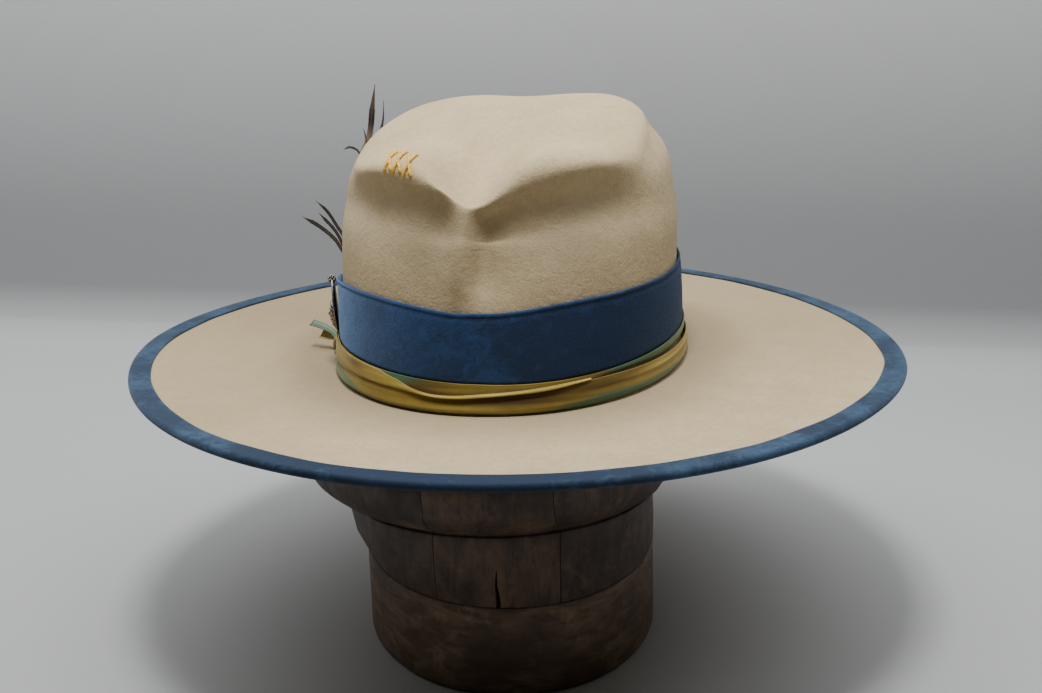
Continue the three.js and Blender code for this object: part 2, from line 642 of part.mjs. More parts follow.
const FOOT_EDGE = 2.5; // worn round at the floor
const TOP_EDGE = 1.0;
const baseRings = [
  baseRing(0, FOOT_EDGE),
  baseRing(FOOT_EDGE, 0),
  baseRing(BASE_HEIGHT - TOP_EDGE, 0),
  baseRing(BASE_HEIGHT, TOP_EDGE),
];
const standBase = named('stand_base', loft(baseRings), oldWood);
standBase.rotation.z = radians(STAND_TURN);

// The hat and its trim share the frame of the crown, the stand has its own
const hat = new THREE.Group();
hat.position.set(0, CROWN_AXIS_Y, BRIM_HEIGHT);
hat.add(feltBody, brimBinding, hatBand, ribbonLower, ribbonUpper, ribbonTie, brooch, featherSpray);

const stand = new THREE.Group();
stand.position.set(STAND_OFFSET[0], CROWN_AXIS_Y + STAND_OFFSET[1], 0);
stand.add(standBase, ...blockPieces);

const group = new THREE.Group();
group.add(hat, stand);

export default group;
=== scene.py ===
import math

import bmesh
import bpy
import numpy as np
from mathutils import Matrix, Vector, noise
from mathutils.bvhtree import BVHTree


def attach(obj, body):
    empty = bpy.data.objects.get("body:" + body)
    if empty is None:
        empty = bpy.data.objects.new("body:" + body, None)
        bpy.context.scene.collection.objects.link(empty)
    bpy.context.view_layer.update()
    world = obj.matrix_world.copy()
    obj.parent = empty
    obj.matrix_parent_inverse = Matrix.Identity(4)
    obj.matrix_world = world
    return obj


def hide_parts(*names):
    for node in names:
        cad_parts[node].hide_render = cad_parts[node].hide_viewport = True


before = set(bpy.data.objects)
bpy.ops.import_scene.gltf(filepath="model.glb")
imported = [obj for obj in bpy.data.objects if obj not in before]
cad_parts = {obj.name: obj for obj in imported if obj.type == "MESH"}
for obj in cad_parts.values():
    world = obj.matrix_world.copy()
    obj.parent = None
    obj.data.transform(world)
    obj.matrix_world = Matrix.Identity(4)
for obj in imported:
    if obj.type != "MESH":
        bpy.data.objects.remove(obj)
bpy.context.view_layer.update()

# Wide-brim fur felt hat on its wooden block. Shapes are worked out in millimetres round the axis of the
# crown, at the top face of the brim, and put in place in metres. Angles are in degrees, 0 at the front (-Y),
# 90 at +X, the wearer's left.
hatPlace = np.array([0.0, -12.95, 145.7])
standPlace = np.array([-4.9, -13.95, 0.0])
metre = 0.001


def toLinear(hexColour):
    channels = [int(hexColour[i:i + 2], 16) / 255 for i in (1, 3, 5)]
    linear = [c / 12.92 if c <= 0.04045 else ((c + 0.055) / 1.055) ** 2.4 for c in channels]
    return (*linear, 1.0)


def addNode(tree, kind, links=None, **settings):
    node = tree.nodes.new("ShaderNode" + kind)
    for name, value in settings.items():
        setattr(node, name, value)
    for socket, value in (links or {}).items():
        if isinstance(value, bpy.types.NodeSocket):
            tree.links.new(value, node.inputs[socket])
        else:
            node.inputs[socket].default_value = value
    return node


def addNoise(tree, where, sizeMm, **settings):
    return addNode(tree, "TexNoise", {"Vector": where, "Scale": 1000 / sizeMm, **settings}).outputs[0]


def addMath(tree, operation, *values, clamp=False):
    return addNode(tree, "Math", dict(enumerate(values)), operation=operation, use_clamp=clamp).outputs[0]


def addRange(tree, value, low, high, start=0.0, end=1.0):
    links = {"Value": value, "From Min": low, "From Max": high, "To Min": start, "To Max": end}
    return addNode(tree, "MapRange", links).outputs[0]


def addMix(tree, share, first, second):
    first, second = (toLinear(c) if isinstance(c, str) else c for c in (first, second))
    return addNode(tree, "Mix", {0: share, 6: first, 7: second}, data_type="RGBA").outputs[2]


# A number kept at each point of the mesh
def addMark(tree, name):
    return addNode(tree, "Attribute", attribute_name=name).outputs["Fac"]


def setColour(tree, shader, colour):
    tree.links.new(colour, shader.inputs["Base Color"])


def setBump(tree, shader, height, strength, distance):
    bump = addNode(tree, "Bump", {"Height": height, "Strength": strength, "Distance": distance})
    tree.links.new(bump.outputs[0], shader.inputs["Normal"])


def startMaterial(name, shaderValues):
    material = bpy.data.materials.new(name)
    material.use_nodes = True
    tree = material.node_tree
    tree.nodes.clear()
    shader = addNode(tree, "BsdfPrincipled", shaderValues)
    addNode(tree, "OutputMaterial", {"Surface": shader.outputs[0]})
    return material, tree, shader


def smoothStep(value, low, high):
    t = np.clip((value - low) / (high - low), 0, 1)
    return t * t * (3 - 2 * t)


# Natural cubic spline through values at knots; the values may have several columns
def spline(knots, values, at):
    knots = np.asarray(knots, float)
    values = np.asarray(values, float).reshape(len(knots), -1)
    gap = np.diff(knots)
    matrix = np.eye(len(knots))
    right = np.zeros_like(values)
    for i in range(1, len(knots) - 1):
        matrix[i, i - 1:i + 2] = gap[i - 1], 2 * (gap[i - 1] + gap[i]), gap[i]
        slopeAfter = (values[i + 1] - values[i]) / gap[i]
        slopeBefore = (values[i] - values[i - 1]) / gap[i - 1]
        right[i] = 6 * (slopeAfter - slopeBefore)
    bend = np.linalg.solve(matrix, right)
    at = np.asarray(at, float)
    i = np.clip(np.searchsorted(knots, at) - 1, 0, len(knots) - 2)
    b = ((at - knots[i]) / gap[i])[:, None]
    a = 1 - b
    curve = (a ** 3 - a) * bend[i] + (b ** 3 - b) * bend[i + 1]
    return a * values[i] + b * values[i + 1] + curve * (gap[i] ** 2)[:, None] / 6


# The same round the hat, where the angles close on themselves
def splineRound(degrees, values, at):
    degrees = np.asarray(degrees, float)
    values = np.asarray(values, float).reshape(len(degrees), -1)
    knots = np.concatenate([degrees - 360, degrees, degrees + 360])
    wrapped = (np.asarray(at, float) + 180) % 360 - 180
    return spline(knots, np.concatenate([values] * 3), wrapped)


def degreesRound(count, start=-180):
    return np.arange(count) * 360 / count + start


def columnsOf(names, rows):
    return {name: np.array([row[i] for row in rows], float) for i, name in enumerate(names)}


def noiseAt(points, size, seed):
    offset = Vector((seed * 3.17, seed * 1.73, seed * 5.31))
    return np.array([noise.noise(Vector(p) / size + offset) for p in points])


def meshObject(name, points, faces, material, place, attributes=None, smooth=True):
    mesh = bpy.data.meshes.new(name)
    mesh.from_pydata([tuple(p) for p in (np.asarray(points) + place) * metre], [], faces)
    for key, values in (attributes or {}).items():
        layer = mesh.attributes.new(key, "FLOAT", "POINT")
        layer.data.foreach_set("value", np.asarray(values, np.float32))
    check = bmesh.new()
    check.from_mesh(mesh)
    bmesh.ops.recalc_face_normals(check, faces=check.faces)
    check.to_mesh(mesh)
    check.free()
    mesh.polygons.foreach_set("use_smooth", [smooth] * len(mesh.polygons))
    mesh.materials.append(material)
    piece = bpy.data.objects.new(name, mesh)
    bpy.context.scene.collection.objects.link(piece)
    return piece


# Faces that join rings of points: rings follow each other, points go round
def ringFaces(ringCount, pointCount, closed=False):
    faces = []
    for r in range(ringCount if closed else ringCount - 1):
        here = r * pointCount
        after = ((r + 1) % ringCount) * pointCount
        for i in range(pointCount):
            j = (i + 1) % pointCount
            faces.append((here + i, here + j, after + j, after + i))
    return faces


# Ring faces with a fan at each end
def cappedFaces(ringCount, pointCount):
    faces = ringFaces(ringCount, pointCount)
    last = (ringCount - 1) * pointCount
    startAt = ringCount * pointCount
    for i in range(pointCount):
        j = (i + 1) % pointCount
        faces.append((startAt, j, i))
        faces.append((startAt + 1, last + i, last + j))
    return faces


def cappedPoints(rings, start=None, end=None):
    rings = np.asarray(rings, float)
    ends = [rings[0].mean(0) if start is None else start, rings[-1].mean(0) if end is None else end]
    return np.concatenate([rings.reshape(-1, 3), np.array(ends)])


# Several closed shapes as one mesh
class Shapes:
    def __init__(self):
        self.points, self.faces, self.marks = [], [], {}
        self.count = 0

    def add(self, points, faces, **marks):
        points = np.asarray(points, float)
        self.points.append(points)
        self.faces += [tuple(self.count + i for i in face) for face in faces]
        self.count += len(points)
        for key, values in marks.items():
            values = np.broadcast_to(np.asarray(values, float), (len(points),))
            self.marks.setdefault(key, []).append(values)

    def build(self, name, material, place, smooth=True):
        marks = {key: np.concatenate(values) for key, values in self.marks.items()}
        return meshObject(name, np.concatenate(self.points), self.faces, material, place, marks, smooth)


def finishPiece(piece, *nodes):
    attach(piece, "root")
    if nodes:
        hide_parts(*nodes)
    return piece


# The crown and the brim
crown = {
    "halfWidth": 84.5,
    "halfLength": 103.0,
    "ovalPower": 2.1,
    "wall": 2.0,
    "bandLevel": 48.0,
    "foldLevel": 60.0,
    "slopeLevel": 73.0,
    "valleyDepth": 3.2,
    "valleyHalfWidth": 24.0,
    "noseValleyDepth": 19.0,
    "noseValleyHalfWidth": 18.0,
    "noseValleyFrom": -28.0,
    "noseValleyTo": -75.0,
    "fallLeft": 0.0012,
    "fallRight": 0.0026,
    "around": 288,
    "up": 150,
    "upInside": 64,
    "unevenness": 0.22,
    "unevenFrom": (50, 62),  # heights between which it sets in, above the band
}
crownColumns = (
    "at", "bandShare", "foldShare", "slopeShare", "deepShare", "deepHeight",
    "underShare", "underHeight", "edgeShare", "edgeHeight",
)
crownRows = [
    (-148, 0.958, 0.958, 0.955, 0.933, 91, 0.888, 102, 0.810, 110.5),
    (-118, 0.972, 0.972, 0.970, 0.943, 91, 0.894, 101, 0.808, 109.5),
    (-90, 0.978, 0.978, 0.972, 0.945, 88, 0.902, 99, 0.832, 107.0),
    (-68, 0.973, 0.969, 0.954, 0.926, 83, 0.908, 92, 0.865, 101.5),
    (-48, 0.958, 0.948, 0.922, 0.876, 84, 0.868, 93, 0.876, 101.5),
    (-28, 0.942, 0.926, 0.890, 0.846, 84, 0.846, 95, 0.876, 105.0),
    (-12, 0.944, 0.926, 0.888, 0.848, 80, 0.842, 91, 0.862, 101.0),
    (-5, 0.944, 0.936, 0.904, 0.868, 79, 0.855, 88, 0.860, 95.5),
    (-1, 0.944, 0.944, 0.928, 0.905, 79, 0.886, 86, 0.860, 91.5),
    (3, 0.928, 0.880, 0.854, 0.840, 76, 0.842, 85, 0.856, 91.0),
    (7, 0.930, 0.880, 0.842, 0.820, 76, 0.824, 86, 0.854, 93.5),
    (12, 0.938, 0.903, 0.860, 0.832, 78, 0.834, 89, 0.862, 98.5),
    (28, 0.942, 0.926, 0.886, 0.842, 83, 0.846, 95, 0.880, 106.0),
    (48, 0.956, 0.946, 0.916, 0.868, 84, 0.866, 95, 0.885, 105.5),
    (68, 0.970, 0.966, 0.952, 0.922, 84, 0.905, 94, 0.870, 104.5),
    (90, 0.975, 0.975, 0.970, 0.944, 90, 0.904, 103, 0.824, 113.5),
    (118, 0.970, 0.970, 0.966, 0.938, 91, 0.890, 103.5, 0.800, 113.0),
    (148, 0.958, 0.958, 0.955, 0.934, 91, 0.888, 102.5, 0.805, 111.5),
    (180, 0.950, 0.950, 0.945, 0.925, 90, 0.888, 102, 0.810, 111.0),
]
topLine = {"y": (-90, -72, -54, -28, 0, 28, 56, 80), "z": (88, 96.5, 104.5, 115, 122.5, 125.2, 122, 115)}
topShares = (0.97, 0.9, 0.8, 0.6, 0.35, 0.0, -0.35)  # of the rim of the top; the last lies past the middle
roundFrom = 0.8  # the share of the rim from which the top rounds down to it
brim = {
    "halfWidth": 195.4,
    "front": 190.0,
    "back": 215.9,
    "ovalPower": 1.92,
    "foot": 2.5,
    "straight": 15.0,
    "drop": -1.8,
    "sides": 1.1,
    "corners": 0.6,
    "frontLift": 2.0,
    "rightLift": 1.1,
    "ringsAcross": 46,
    "wave": 0.5,
    "underBinding": 1.2,  # the felt stops this far inside the binding
    "rootCurve": 0.6,  # how tightly brim and crown meet
}
# How dark the felt is painted, 0 to 1: an even darker tone over the brim, and painted shade near the crown's
# foot, at the back and on the left of the brim, low on the crown's sides and in its pinched dents. Reaches
# are shares of the crown's foot, other places in mm.
feltShading = {
    "brim": 0.2,
    "nearCrown": (0.5, 1.05, 1.55),  # how much, from, to
    "back": (0.4, -60, 90),
    "left": (0.3, -130, -20),
    "crownSides": (0.15, 84, 100),
    "pinched": ((-20, 74, 16, 0.6), (45, 75, 24, 0.35)),  # the dents: middle x and z, reach, how much
    "pinchedHigh": 14,
    "most": 0.85,
}
crownTable = columnsOf(crownColumns, crownRows)


def ovalReach(radians, halfWidth, front, back, power):
    ahead = np.where(np.cos(radians) > 0, front, back)
    total = (np.abs(np.sin(radians)) / halfWidth) ** power + (np.abs(np.cos(radians)) / ahead) ** power
    return 1 / total ** (1 / power)


def footReach(degrees):
    radians = np.radians(degrees)
    long = crown["halfLength"]
    return ovalReach(radians, crown["halfWidth"], long, long, crown["ovalPower"])


def polar(degrees, reach, z):
    radians = np.radians(degrees)
    x, y = reach * np.sin(radians), -reach * np.cos(radians)
    return np.stack(np.broadcast_arrays(x, y, np.asarray(z, float)), -1)


# Places on a small circle, so that noise taken round the hat closes on itself
def noiseCircle(degrees, height=0):
    return polar(degrees, 10, height)


# Point beside the lower wall of the crown, at a height and a distance out from the felt
def besideWall(degrees, out, z):
    degrees, out, z = (np.asarray(v, float) for v in np.broadcast_arrays(degrees, out, z))
    flat = degrees.ravel()
    share = 1 + (splineRound(crownTable["at"], crownTable["bandShare"], flat)[:, 0] - 1) \
        * z.ravel() / crown["bandLevel"]
    step = 0.5
    before, after = (polar(flat + s, footReach(flat + s), 0) for s in (-step, step))
    along = after - before
    outward = np.stack([along[:, 1], -along[:, 0], np.zeros(len(flat))], -1)
    outward /= np.linalg.norm(outward, axis=1)[:, None]
    points = polar(flat, share * footReach(flat), z.ravel()) + outward * out.ravel()[:, None]
    return points.reshape(*degrees.shape, 3)


def topHeight(x, y):
    line = spline(topLine["y"], topLine["z"], np.ravel(y))[:, 0].reshape(np.shape(y))
    rise = crown["valleyDepth"] * (1 - np.exp(-((x / crown["valleyHalfWidth"]) ** 2)))
    fall = np.where(x > 0, crown["fallLeft"], crown["fallRight"]) * x * x
    ahead = np.clip((y - crown["noseValleyFrom"]) / (crown["noseValleyTo"] - crown["noseValleyFrom"]), 0, 1.3)
    nose = crown["noseValleyDepth"] * ahead ** 1.5
    noseRise = nose * (1 - np.exp(-((x / crown["noseValleyHalfWidth"]) ** 2)))
    return line + rise + noseRise - fall


# The crown's outer face: rings from the foot to just before the middle of the top
def crownRings(degrees, count):
    reach = footReach(degrees)
    at = {key: splineRound(crownTable["at"], crownTable[key], degrees)[:, 0] for key in crownColumns[1:]}
    full = np.ones_like(reach)
    levels = [
        (full, 0 * full),
        ((1 + at["bandShare"]) / 2, crown["bandLevel"] / 2 * full),
        (at["bandShare"], crown["bandLevel"] * full),
        (at["foldShare"], crown["foldLevel"] * full),
        (at["slopeShare"], crown["slopeLevel"] * full),
        (at["deepShare"], at["deepHeight"]),
        (at["underShare"], at["underHeight"]),
        (at["edgeShare"], at["edgeHeight"]),
    ]
    rim = polar(degrees, at["edgeShare"] * reach, 0)
    rimDrop = topHeight(rim[:, 0], rim[:, 1]) - at["edgeHeight"]
    for part in topShares:
        flat = polar(degrees, at["edgeShare"] * part * reach, 0)
        nearRim = max(0, part - roundFrom) / (1 - roundFrom)
        rounding = rimDrop * (nearRim ** 2 + 1 - np.sqrt(1 - nearRim ** 4)) / 2
        levels.append((at["edgeShare"] * part, topHeight(flat[:, 0], flat[:, 1]) - rounding))
    stack = np.array([[share * reach, height] for share, height in levels])
    steps = np.linalg.norm(np.diff(stack, axis=0), axis=1).mean(1)
    knots = np.concatenate([[0], np.cumsum(steps ** 0.7)])
    middle = knots[-2]
    ups = np.linspace(0, middle, count + 1)[:-1]
    shape = spline(knots, stack.reshape(len(levels), -1), ups).reshape(count, 2, -1)
    return np.stack([polar(degrees, radius, height) for radius, height in shape])


def ringNormals(rings, middle):
    above = np.concatenate([rings[1:], np.broadcast_to(middle, rings[:1].shape)])
    below = np.concatenate([rings[:1], rings[:-1]])
    around = np.roll(rings, -1, axis=1) - np.roll(rings, 1, axis=1)
    normals = np.cross(around, above - below)
    return normals / np.maximum(np.linalg.norm(normals, axis=2), 1e-9)[..., None]


def edgeLift(degrees):
    radians = np.radians(degrees)
    sides = brim["sides"] * (1 - np.cos(2 * radians))
    corners = brim["corners"] * np.cos(4 * radians)
    tilt = brim["frontLift"] * np.cos(radians) - brim["rightLift"] * np.sin(radians)
    return brim["drop"] + sides + corners + tilt


# Point on the top face of the brim, a distance in from its edge, raised by a height
def brimPoint(degrees, inward, height):
    degrees, inward, height = (np.asarray(v, float) for v in np.broadcast_arrays(degrees, inward, height))
    foot = besideWall(degrees, brim["foot"], 0)
    reach = ovalReach(np.radians(degrees), brim["halfWidth"], brim["front"], brim["back"], brim["ovalPower"])
    lift = edgeLift(degrees)
    edge = polar(degrees, reach, lift)
    length = np.linalg.norm(foot - edge, axis=-1)
    part = inward / length
    points = edge + (foot - edge) * part[..., None]
    bendLift = lift * (1 - brim["straight"] / length) ** 2
    nearEdge = lift + (bendLift - lift) * inward / brim["straight"]
    points[..., 2] = np.where(inward <= brim["straight"], nearEdge, lift * (1 - part) ** 2) + height
    return points


# Fur felt, rabbit or beaver, brushed and pounced: quite matt, with a short soft nap that catches light at
# the edge of the shape, and a fine mottle from the fibres
def makeFelt():
    look = {
        "light": "#c4b18f",
        "dark": "#b3a07b",
        "shadedFelt": "#8a7b60",
        "fibreMm": 1.1,
        "napMm": 3.2,
        "mottleMm": 24,
    }
    values = {"Roughness": 0.93, "Specular IOR Level": 0.25, "Sheen Weight": 0.07, "Sheen Roughness": 0.45,
              "Sheen Tint": toLinear("#efe6d2")}
    material, tree, shader = startMaterial("brushedFurFelt", values)
    where = addNode(tree, "TexCoord").outputs["Object"]
    fibre = addNoise(tree, where, look["fibreMm"], Detail=3.0, Roughness=0.65)
    nap = addNoise(tree, where, look["napMm"], Detail=2.0, Distortion=0.6)
    mottle = addNoise(tree, where, look["mottleMm"], Detail=3.0)
    together = addMath(tree, "ADD", fibre, nap)
    spots = addMath(tree, "ADD", together, mottle)
    colour = addMix(tree, addRange(tree, spots, 1.15, 1.85), look["dark"], look["light"])
    # Painted shade, with the brim's even darker tone, mixed in from a mark on the mesh
    setColour(tree, shader, addMix(tree, addMark(tree, "toneAndPaintedShade"), colour, look["shadedFelt"]))
    setBump(tree, shader, together, 0.5, 0.0006)
    return material


# The brim's even darker tone, and painted shade: the brim darker near the crown, at the back and on the left;
# the crown darker low on its sides and where it is pinched
def feltToneAndShade(points):
    x, y, z = points.T
    spread = np.linalg.norm(points[:, :2] / [crown["halfWidth"], crown["halfLength"]], axis=1)
    onBrim = smoothStep(spread, 0.98, 1.06)
    nearCrown, back, left, sides = (feltShading[key] for key in ("nearCrown", "back", "left", "crownSides"))
    brimToneAndShade = feltShading["brim"] + nearCrown[0] * (1 - smoothStep(spread, *nearCrown[1:]))
    brimToneAndShade = brimToneAndShade + back[0] * smoothStep(y, *back[1:]) + left[0] * (1 - smoothStep(x, *left[1:]))
    crownPaintedShade = sides[0] * (1 - smoothStep(z, *sides[1:]))
    for middle, height, reach, much in feltShading["pinched"]:
        away = ((x - middle) / reach) ** 2 + ((z - height) / feltShading["pinchedHigh"]) ** 2
        crownPaintedShade = crownPaintedShade + much * np.exp(-away) * (y < -40)
    return np.clip(onBrim * brimToneAndShade + (1 - onBrim) * crownPaintedShade, 0, feltShading["most"])


def makeHatBody(material):
    degrees = degreesRound(crown["around"])
    middle = np.array([0.0, 0.0, topHeight(np.zeros(1), np.zeros(1))[0]])
    outer = crownRings(degrees, crown["up"])
    normals = ringNormals(outer, middle)
    clear = smoothStep(outer[..., 2], *crown["unevenFrom"])
    flat = outer.reshape(-1, 3)
    uneven = noiseAt(flat, 16, 1) + 0.5 * noiseAt(flat, 7, 2)
    outer = outer + normals * (uneven.reshape(clear.shape) * clear * crown["unevenness"])[..., None]
    across = np.linspace(0, 1, brim["ringsAcross"])
    length = np.linalg.norm(brimPoint(degrees, 0, 0) - besideWall(degrees, brim["foot"], 0), axis=-1)
    edge = brim["underBinding"]
    brimTop = [brimPoint(degrees, edge + (length - edge) * (1 - part), 0) for part in across]
    for ring, part in zip(brimTop, across):
        wave = noiseAt(ring, 34, 3) + 0.4 * noiseAt(ring, 13, 4)
        starts, ends = smoothStep(part, 0.02, 0.3), 1 - smoothStep(part, 0.75, 0.88)
        ring[:, 2] += wave * brim["wave"] * starts * ends
    curve = brim["rootCurve"]
    up = outer[np.array([ring[:, 2].min() for ring in outer]) > brim["foot"]]
    inner = crownRings(degrees, crown["upInside"])
    inner = inner - ringNormals(inner, middle) * crown["wall"]
    inner = inner[np.array([ring[:, 2].min() for ring in inner]) > curve]
    rings = [
        *up[::-1],
        besideWall(degrees, 0, brim["foot"]),
        besideWall(degrees, curve * 0.35, curve * 2),
        besideWall(degrees, curve, curve),
        besideWall(degrees, curve * 2, curve * 0.35),
        *brimTop,
        *[ring - [0, 0, crown["wall"]] for ring in brimTop[::-1]],
        besideWall(degrees, curve - crown["wall"] / 2, -crown["wall"]),
        besideWall(degrees, -crown["wall"], -curve),
        *inner,
    ]
    below = middle - [0, 0, crown["wall"]]
    points = cappedPoints(rings, start=middle, end=below)
    faces = cappedFaces(len(rings), crown["around"])
    piece = meshObject("feltHat", points, faces, material, hatPlace,
                       {"toneAndPaintedShade": feltToneAndShade(points)})
    return finishPiece(piece, "felt_body")


feltHat = makeHatBody(makeFelt())
print("felt body made")


# Painted shade on the velvet: how much darker it is where the shade is painted, and the share of its sheen
# that is left there
velvetShadeLook = {"darker": 0.7, "sheen": 0.2}


# Cotton velvet: a dense upright pile. Seen straight on it is deep, along the pile's lean it goes pale,
# and handling leaves lighter brushed patches.
def makeVelvet(name, look):
    values = {"Roughness": 0.75, "Specular IOR Level": 0.2, "Sheen Roughness": 0.5,
              "Sheen Tint": toLinear(look["sheenTint"])}
    material, tree, shader = startMaterial(name, values)
    where = addNode(tree, "TexCoord").outputs["Object"]
    pile = addNoise(tree, where, look["pileMm"], Detail=2.0)
    brushed = addNoise(tree, where, look["brushedMm"], Detail=4.0, Roughness=0.6, Distortion=1.2)
    patches = addNoise(tree, where, look["patchMm"], Detail=2.0)
    lighter = addRange(tree, addMath(tree, "ADD", brushed, patches), 0.85, 1.3)
    # Painted shade from a mark on the mesh: a darker colour and less sheen; wear from another mark lightens
    # it
    paintedVelvetShade = addMark(tree, "paintedVelvetShade")
    wearAndShade = addMath(tree, "MULTIPLY_ADD", paintedVelvetShade, -velvetShadeLook["darker"], addMark(tree, "worn"))
    total = addMath(tree, "ADD", lighter, wearAndShade, clamp=True)
    setColour(tree, shader, addMix(tree, total, look["deep"], look["brushed"]))
    sheen = addRange(tree, paintedVelvetShade, 0, 1, look["sheen"], velvetShadeLook["sheen"] * look["sheen"])
    tree.links.new(sheen, shader.inputs["Sheen Weight"])
    setBump(tree, shader, addMath(tree, "ADD", pile, brushed), 0.4, 0.0005)
    return material


# The binding: a bias strip of velvet folded over the edge of the brim
binding = {
    "leg": 11.0,
    "thick": 0.9,
    "gap": 0.3,
    "wavering": 0.7,
    "around": 480,
    "edgeRound": 9,
    "puff": 0.14,
    "hem": 2.0,  # cloth taken by the turn over the edge, on each side
    "worn": 0.2,
    "paintedVelvetShade": (40, 110),  # to either side of the middle of the front half, where the painted shade starts to fade and where it is gone
    "look": {"deep": "#19293d", "brushed": "#334b63", "sheenTint": "#9fb4c8", "sheen": 0.3,
             "pileMm": 0.9, "brushedMm": 5, "patchMm": 22},
}


def makeBinding(material):
    degrees = degreesRound(binding["around"])
    unit = noiseCircle(degrees)
    insideHalf = crown["wall"] / 2 + binding["gap"]
    outsideHalf = insideHalf + binding["thick"]
    legs = {side: binding["leg"] + binding["wavering"] * noiseAt(unit, 1.6, 10 + side) for side in (1, -1)}
    puff = {side: binding["puff"] * noiseAt(unit, 0.9, 20 + side) for side in (1, -1)}
    section = []  # distance in from the edge, height above the middle of the felt
    for side in (1, -1):
        stations = np.linspace(1, 0.2, 12)
        leg = [(legs[side] * s, side * (outsideHalf - 0.45 * (s > 0.97) + puff[side])) for s in stations]
        leg = [(legs[side], side * insideHalf)] + leg
        section += leg if side == 1 else leg[::-1]
        if side == 1:
            for turn in np.linspace(80, -80, binding["edgeRound"]):
                bow = math.cos(math.radians(turn))
                rise = math.sin(math.radians(turn)) * outsideHalf
                section.append((2.0 - 2.0 * bow, rise))
    section += [(binding["thick"], -insideHalf), (binding["thick"], insideHalf)]
    rings = np.stack([brimPoint(degrees, d, h - crown["wall"] / 2) for d, h in section], axis=1)
    edgeAt = 17  # the station of the section that lies on the brim's edge
    wornAcross = [binding["worn"] * math.exp(-((k - edgeAt) / 4) ** 2) for k in range(len(section))]
    worn = np.broadcast_to(np.array(wornAcross), (len(degrees), len(section)))
    # Painted shade on the front half of the binding
    paintedVelvetShade = (1 - smoothStep(np.abs(rings[..., 0]), *binding["paintedVelvetShade"])) * (rings[..., 1] < 0)
    faces = ringFaces(len(degrees), len(section), closed=True)
    piece = meshObject("velvetBinding", rings.reshape(-1, 3), faces, material, hatPlace,
                       {"worn": worn.ravel(), "paintedVelvetShade": paintedVelvetShade.ravel()})
    return finishPiece(piece, "brim_binding")


makeBinding(makeVelvet("cottonVelvetBlue", binding["look"]))
print("binding made")


# The band: a wide strip of velvet round the crown, its upper edge turned over
band = {
    "top": 48.6,
    "topSag": 3.6,
    "topDrop": 6.5,
    "bottom": 17.2,
    "bottomSag": 3.1,
    "inside": 0.5,
    "thick": 1.3,
    "rolled": -0.04,
    "flare": 1.0,
    "flareAt": -67,
    "hem": 2.0,  # turned in at each edge
    "paintedVelvetShade": (15, 65),  # x from which painted shade starts on the band, and where it is full
    "around": 540,
    "look": {"deep": "#152540", "brushed": "#1f3d66", "sheenTint": "#7f9fcb", "sheen": 0.8,
             "pileMm": 0.9, "brushedMm": 7, "patchMm": 30},
}


# A bell curve, 1 at its middle
def sag(degrees, at, spread):
    return np.exp(-(((np.asarray(degrees, float) - at) / spread) ** 2))


def bandTop(degrees):
    dips = band["topSag"] * sag(degrees, 3, 17) + band["topDrop"] * sag(degrees, -86, 27)
    return band["top"] - dips


def bandBottom(degrees):
    return band["bottom"] - band["bottomSag"] * sag(degrees, 14, 38)


def makeBand(material):
    degrees = degreesRound(band["around"])
    unit = noiseCircle(degrees)
    top = bandTop(degrees) + 0.25 * noiseAt(unit, 1.5, 5)
    bottom = bandBottom(degrees) + 0.2 * noiseAt(unit, 1.3, 6)
    flare = band["flare"] * sag(degrees, band["flareAt"], 15)
    inside = band["inside"]
    outside = inside + band["thick"]
    roll = band["rolled"]
    # Distance out from the felt and height: the lower edge, the face, the turned edge and the inside
    section = [(inside, bottom + 0.5), (inside + 0.3, bottom + 0.05),
               (outside - 0.3, bottom - 0.05), (outside, bottom + 0.5)]
    wornAcross = [0.1, 0.2, 0.3, 0.1]
    for part in np.linspace(0.05, 0.9, 18):
        height = bottom + (top - bottom) * part
        bow = 0.25 * math.sin(math.pi * part)
        crease = 0.1 * noiseAt(np.column_stack([unit[:, :2], height * 0.2]), 1.1, 7)
        section.append((outside + bow + flare * part ** 2 + crease, height))
        wornAcross.append(0.0)
    for turn in np.linspace(-60, 180, 9):
        c, s = math.cos(math.radians(turn)), math.sin(math.radians(turn))
        centre = (inside + outside) / 2 + 0.05
        half = band["thick"] / 2 + roll
        section.append((centre + half * c + flare, top - 0.9 + 1.1 * s))
        wornAcross.append(0.95 * max(0.0, math.cos(math.radians(turn - 60))) ** 4)
    for part in (0.75, 0.4):
        section.append((inside + flare * part ** 2, bottom + (top - bottom) * part))
        wornAcross.append(0.0)
    rings = np.stack([besideWall(degrees, out, z) for out, z in section], axis=1)
    worn = np.broadcast_to(np.array(wornAcross), (len(degrees), len(section)))
    # Painted shade on the band towards +x
    paintedVelvetShade = smoothStep(rings[..., 0], *band["paintedVelvetShade"])
    faces = ringFaces(len(degrees), len(section), closed=True)
    piece = meshObject("velvetBand", rings.reshape(-1, 3), faces, material, hatPlace,
                       {"worn": worn.ravel(), "paintedVelvetShade": paintedVelvetShade.ravel()})
    return finishPiece(piece, "hat_band")


makeBand(makeVelvet("cottonVelvetNavy", band["look"]))
print("band made")


